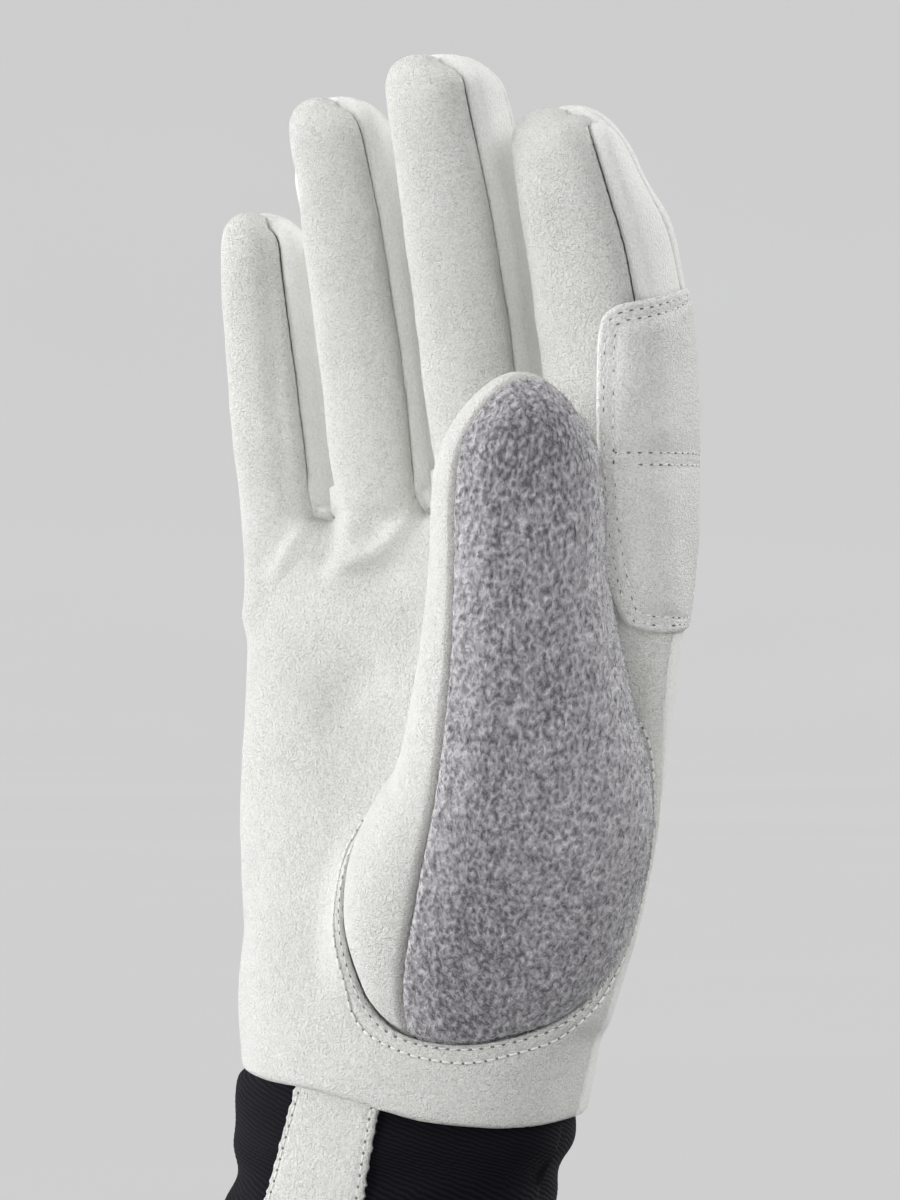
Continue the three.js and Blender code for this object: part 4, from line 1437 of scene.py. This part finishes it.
def thumb_fleece():
    surface = beyond(thumb_fields(*thumb_shape(*THUMB_FLEECE)), "out", -THUMB_INSIDE)
    surface = beyond(surface, "fleece", FLEECE_START)
    fleece = surface.values["fleece"]
    pile_and_painted_shade = pile_height(surface.points)
    tucked = FLEECE_TUCK["deep"] * bell(np.maximum(surface.values["edge"], 0), 0, FLEECE_TUCK["wide"])
    sunk = PILE["sunk"] * bell(fleece, FLEECE_START, PILE["wide"])
    lift = PILE["foot"] + PILE["high"] * pile_and_painted_shade - tucked - sunk
    z = surface.points[:, 2]
    # Painted light and shade: the pile's colour is painted darker at its ends and lighter at its sides.
    ends = smoothstep(z, *SHADE["top"]) + 1 - smoothstep(z, *SHADE["foot"])
    sides = smoothstep(surface.values["side"], *SHADE["right"])
    sides += 2 - 2 * smoothstep(fleece, *SHADE["left"])
    shade = pile_and_painted_shade + SHADE_STEPS["sides"] * sides + SHADE_STEPS["ends"] * ends
    edges = {"fleece": 0.9}
    obj = panel("thumb_fleece_pile", surface, edges, FLEECE_THICKNESS, FLEECE, lift, {"pile_and_painted_shade": shade})
    piece(obj, "fleece", "thumb_fleece")
    fibres(surface, lift, shade)


def fibres(surface, lift, pile_and_painted_shade):
    """Short closed fibres over the fleece."""
    f = surface.faces
    up = unit(surface.values["normals"])
    corners = (surface.points + up * lift[:, None])[f]
    area = np.linalg.norm(np.cross(corners[:, 1] - corners[:, 0], corners[:, 2] - corners[:, 0]), axis=1)
    area = area * ((surface.values["fleece"][f].min(1) > 0.5) & (surface.values["out"][f].min(1) > 0.3))
    count = FIBRES["count"]
    chosen = RANDOM.choice(len(f), count, p=area / area.sum())
    w = RANDOM.dirichlet((1, 1, 1), count)[..., None]
    root = (corners[chosen] * w).sum(1)
    normal = unit((up[f[chosen]] * w).sum(1))
    shade = (pile_and_painted_shade[f[chosen]] * w[..., 0]).sum(1)
    drift = unit(RANDOM.normal(0, 1, (count, 3)) + np.array(FIBRES["lean"]))
    drift = unit(drift - normal * dot(drift, normal)[:, None])
    length = RANDOM.uniform(*FIBRES["length"], count)[:, None]
    radius = RANDOM.uniform(*FIBRES["radius"], count)[:, None, None]
    side = np.cross(normal, drift)
    low = (root - normal * FIBRES["root"])[:, None] + circles(side, drift, 3) * radius
    rise, run = FIBRES["middle"]
    middle = (root + normal * length * rise + drift * length * run)[:, None]
    middle = middle + circles(side, normal, 3) * radius * FIBRES["middle_radius"]
    rise, run = FIBRES["tip"]
    tip = (root + normal * length * rise + drift * length * run)[:, None]
    points = np.concatenate([low, middle, tip], 1)
    one = np.concatenate([grid_faces(2, 3, True), fan(3, 6, 3), [[0, 2, 1]]])
    # Painted light: each fibre's colour is lighter towards its tip.
    lighter = np.repeat([0, FIBRES["lighter"]["middle"], FIBRES["lighter"]["tip"]], [3, 3, 1])
    shades = np.clip(shade[:, None] + lighter, 0, 1)
    points, faces = copies(points, outward(points[0], one))
    piece(new_object("thumb_fibres", points, faces, [FLEECE], {"pile_and_painted_shade": shades.ravel()}), "fleece")


def thumb_stitches():
    """Two rows round the hole that the thumb comes through."""
    near = part(HAND, HAND.values["thumb"][HAND.faces].max(1) < 8)
    inner, outer = (line_at(near, "thumb", row) for row in HOLE_ROWS)
    sewn("thumb_stitches_inner", inner, -0.04, radius=0.16, hole=0.19, long=2.0)
    sewn("thumb_stitches_outer", outer, -0.04, length=1.85, radius=0.26, hole=0.2, long=1.6)


# The cuff and its strap.
def cuff_relief(around, z):
    """The knit's ribs and the cuff's soft wrinkles."""
    bend = RIBS["bend"] * np.sin(2 * np.pi * around / RIBS["bend_pitch"])
    ribs = RIBS["high"] * np.sin(2 * np.pi * (z * RIBS["lean"] + bend) / RIBS["pitch"])
    bend = WRINKLES["bend"] * np.sin(around / WRINKLES["bend_length"])
    wrinkles = WRINKLES["high"] * np.sin(2 * np.pi * (z / WRINKLES["pitch"] + bend))
    return ribs + wrinkles * bell(z, WRINKLES["z"], WRINKLES["reach"])


def cuff():
    sides = SIDES["cuff"]
    outside = loft(CUFF, SQUARE["cuff"], 0.5, sides)
    inside = loft(CUFF, SQUARE["cuff"], 3.0, sides, grow=-CUFF_THICKNESS)
    step = np.linalg.norm(np.diff(outside, axis=1, append=outside[:, :1]), axis=2)
    around = np.cumsum(step, axis=1)
    z = outside[..., 2]
    up = normals_of(outside.reshape(-1, 3), grid_faces(len(outside), sides, True)).reshape(outside.shape)
    if dot(up, outside - outside.mean(1)[:, None]).mean() < 0:
        up = -up
    low = CUFF_ROLL * np.clip(1 - z / CUFF_ROLL, 0, 1) ** 2
    shaped = outside + up * cuff_relief(around, z)[..., None]
    shaped = shaped - up * low[..., None]
    rings = np.concatenate([shaped, inside[::-1]])
    points = rings.reshape(-1, 3)
    # The cell rows run on from the last ring to the first one.
    faces = outward(points, grid_faces(len(rings) + 1, sides, True) % len(points))
    lined = np.tile(around[:1], (len(inside), 1))
    cloth = np.stack([np.concatenate([around, lined]).ravel(), points[:, 2], 0 * points[:, 2]], 1)
    piece(new_object("cuff_knit", points, faces, [KNIT], {"cloth": cloth}), "knit", "cuff")


def cuff_front(x, z, grow):
    """Y of the cuff's front, some way outside it."""
    c = section_at(CUFF, z)
    power = SQUARE["cuff"]
    share = np.clip(np.abs(x - c["x"]) / (c["wide"] + grow), 0, 1)
    return c["y"] - (c["deep"] + grow) * (1 - share**power) ** (1 / power)


def strap():
    foot, top = STRAP_SPAN
    heights = np.linspace(foot, top, 2 * (top - foot) + 1)
    shares = np.linspace(0, 1, 45)
    left, right = (np.interp(heights, STRAP["z"], STRAP[side])[:, None] for side in ("left", "right"))
    x = mix(left, right, shares[None])
    z = np.repeat(heights[:, None], len(shares), 1)
    edge = np.minimum(x - left, right - x)
    row = np.stack([x, 0 * x, z], -1)
    up_it = row * np.array([0, 0, 1.0])
    ragged = lumpy(up_it, STRAP_RAGGED["up"]) + lumpy(row, STRAP_RAGGED["over"])
    x = x + ragged * bell(edge, 0, STRAP_RAGGED["wide"]) * np.sign(shares - 0.5)[None]
    base = np.stack([x, cuff_front(x, z, STRAP_LIFT), z], -1).reshape(-1, 3)
    faces = grid_faces(len(heights), len(shares), False)
    up = normals_of(base, faces)
    if up[:, 1].mean() > 0:
        faces = faces[:, ::-1]
        up = -up
    d = edge.ravel()
    groove = STRAP_GROOVE["deep"] * bell(d, STRAP_GROOVE["at"], STRAP_GROOVE["wide"])
    height = STRAP_THICKNESS - groove - rolled(d, 0.35)
    outer = base + up * height[:, None]
    points, closed = thickened(Surface(base, faces), outer, base)
    piece(new_object("strap_suede", points, closed, [SUEDE]), "suede", "pull_strap")
    top = Surface(outer, faces, {"edge": d, "normals": up})
    sewn("strap_stitches", line_at(top, "edge", STRAP_ROW), 0.02)


# The scene, in metres.
CAMERA = {"lens": 238.5, "target": (0.0137, 0.0079, 0.142), "away": 1.5, "clip": (0.05, 50)}
WORLD_COLOR = (0.98, 0.99, 1.0, 1)
WORLD_LIGHT = 0.08
# The floor is flat out to its bend and rises behind it into a wall.
FLOOR = {"first": 0.5, "flat": 6, "bend": 2, "top": (3.5, 5.0), "below": 0.0005, "sides": 96}
LIGHTS = table(
    "azimuth elevation strength angle",
    (-80, 6, 1.97, 30),
    (-40, 8, 1.28, 30),
    (20, 6, 0.92, 24),
    (70, 30, 0.8, 30),
    (165, 6, 0.8, 30),
    (150, 38, 1.1, 35),
    (150, 64, 0.9, 40),
    (-60, 38, 0.9, 30),
    (-90, -30, 0.6, 30),
    (110, -30, 0.4, 30),
    (30, -34, 0.4, 30),
)


def add_facing(name, data, place, back):
    """An object at a place that looks the other way from back."""
    obj = bpy.data.objects.new(name, data)
    bpy.context.scene.collection.objects.link(obj)
    obj.location = place
    obj.rotation_mode = "QUATERNION"
    obj.rotation_quaternion = (-back).to_track_quat("-Z", "Y")
    return obj


def camera():
    data = bpy.data.cameras.new("camera")
    data.lens = CAMERA["lens"]
    data.clip_start, data.clip_end = CAMERA["clip"]
    back = Vector(TOWARDS)
    place = Vector(CAMERA["target"]) + back * CAMERA["away"]
    bpy.context.scene.camera = add_facing("camera", data, place, back)


def soft_light(azimuth, elevation, strength, angle):
    """A wide distant light. Azimuth turns as the camera's does."""
    data = bpy.data.lights.new("light", "SUN")
    data.energy = strength
    data.angle = math.radians(angle)
    a, e = math.radians(azimuth), math.radians(elevation)
    back = Vector((math.sin(a) * math.cos(e), -math.cos(a) * math.cos(e), math.sin(e)))
    add_facing("light", data, back, back)


def floor_mesh():
    """A round floor that bends up into a wall, in millimetres."""
    turns = np.linspace(0.15, np.pi / 2, 10)
    flat = np.linspace(FLOOR["first"], FLOOR["flat"], 12)
    wall = FLOOR["flat"] + FLOOR["bend"]
    radii = np.concatenate([flat, FLOOR["flat"] + FLOOR["bend"] * np.sin(turns), [wall, wall]])
    heights = np.concatenate([0 * flat, FLOOR["bend"] * (1 - np.cos(turns)), FLOOR["top"]])
    heights = heights - FLOOR["below"]
    sides = FLOOR["sides"]
    angle = 2 * np.pi * np.arange(sides) / sides
    level = np.repeat(heights[:, None], sides, 1)
    rings = np.stack([radii[:, None] * np.cos(angle), radii[:, None] * np.sin(angle), level], -1)
    points = np.concatenate([rings.reshape(-1, 3), [[0, 0, -FLOOR["below"]]]]) / MM
    middle = turned_over(fan(sides, len(points) - 1))
    return points, np.concatenate([grid_faces(len(rings), sides, True), middle])


def studio():
    floor = new_object("floor", *floor_mesh(), [paper_material()])
    floor.visible_shadow = False
    floor.visible_diffuse = False
    floor.visible_glossy = False
    world = bpy.context.scene.world or bpy.data.worlds.new("world")
    bpy.context.scene.world = world
    world.use_nodes = True
    background = world.node_tree.nodes["Background"]
    background.inputs["Color"].default_value = WORLD_COLOR
    background.inputs["Strength"].default_value = WORLD_LIGHT
    for values in zip(*LIGHTS.values()):
        soft_light(*values)
    bpy.context.scene.view_settings.view_transform = "Standard"


camera()
studio()
palm_panel()
back_panel()
strip_panels()
overlay()
thumb_suede()
thumb_fleece()
thumb_stitches()
cuff()
strap()
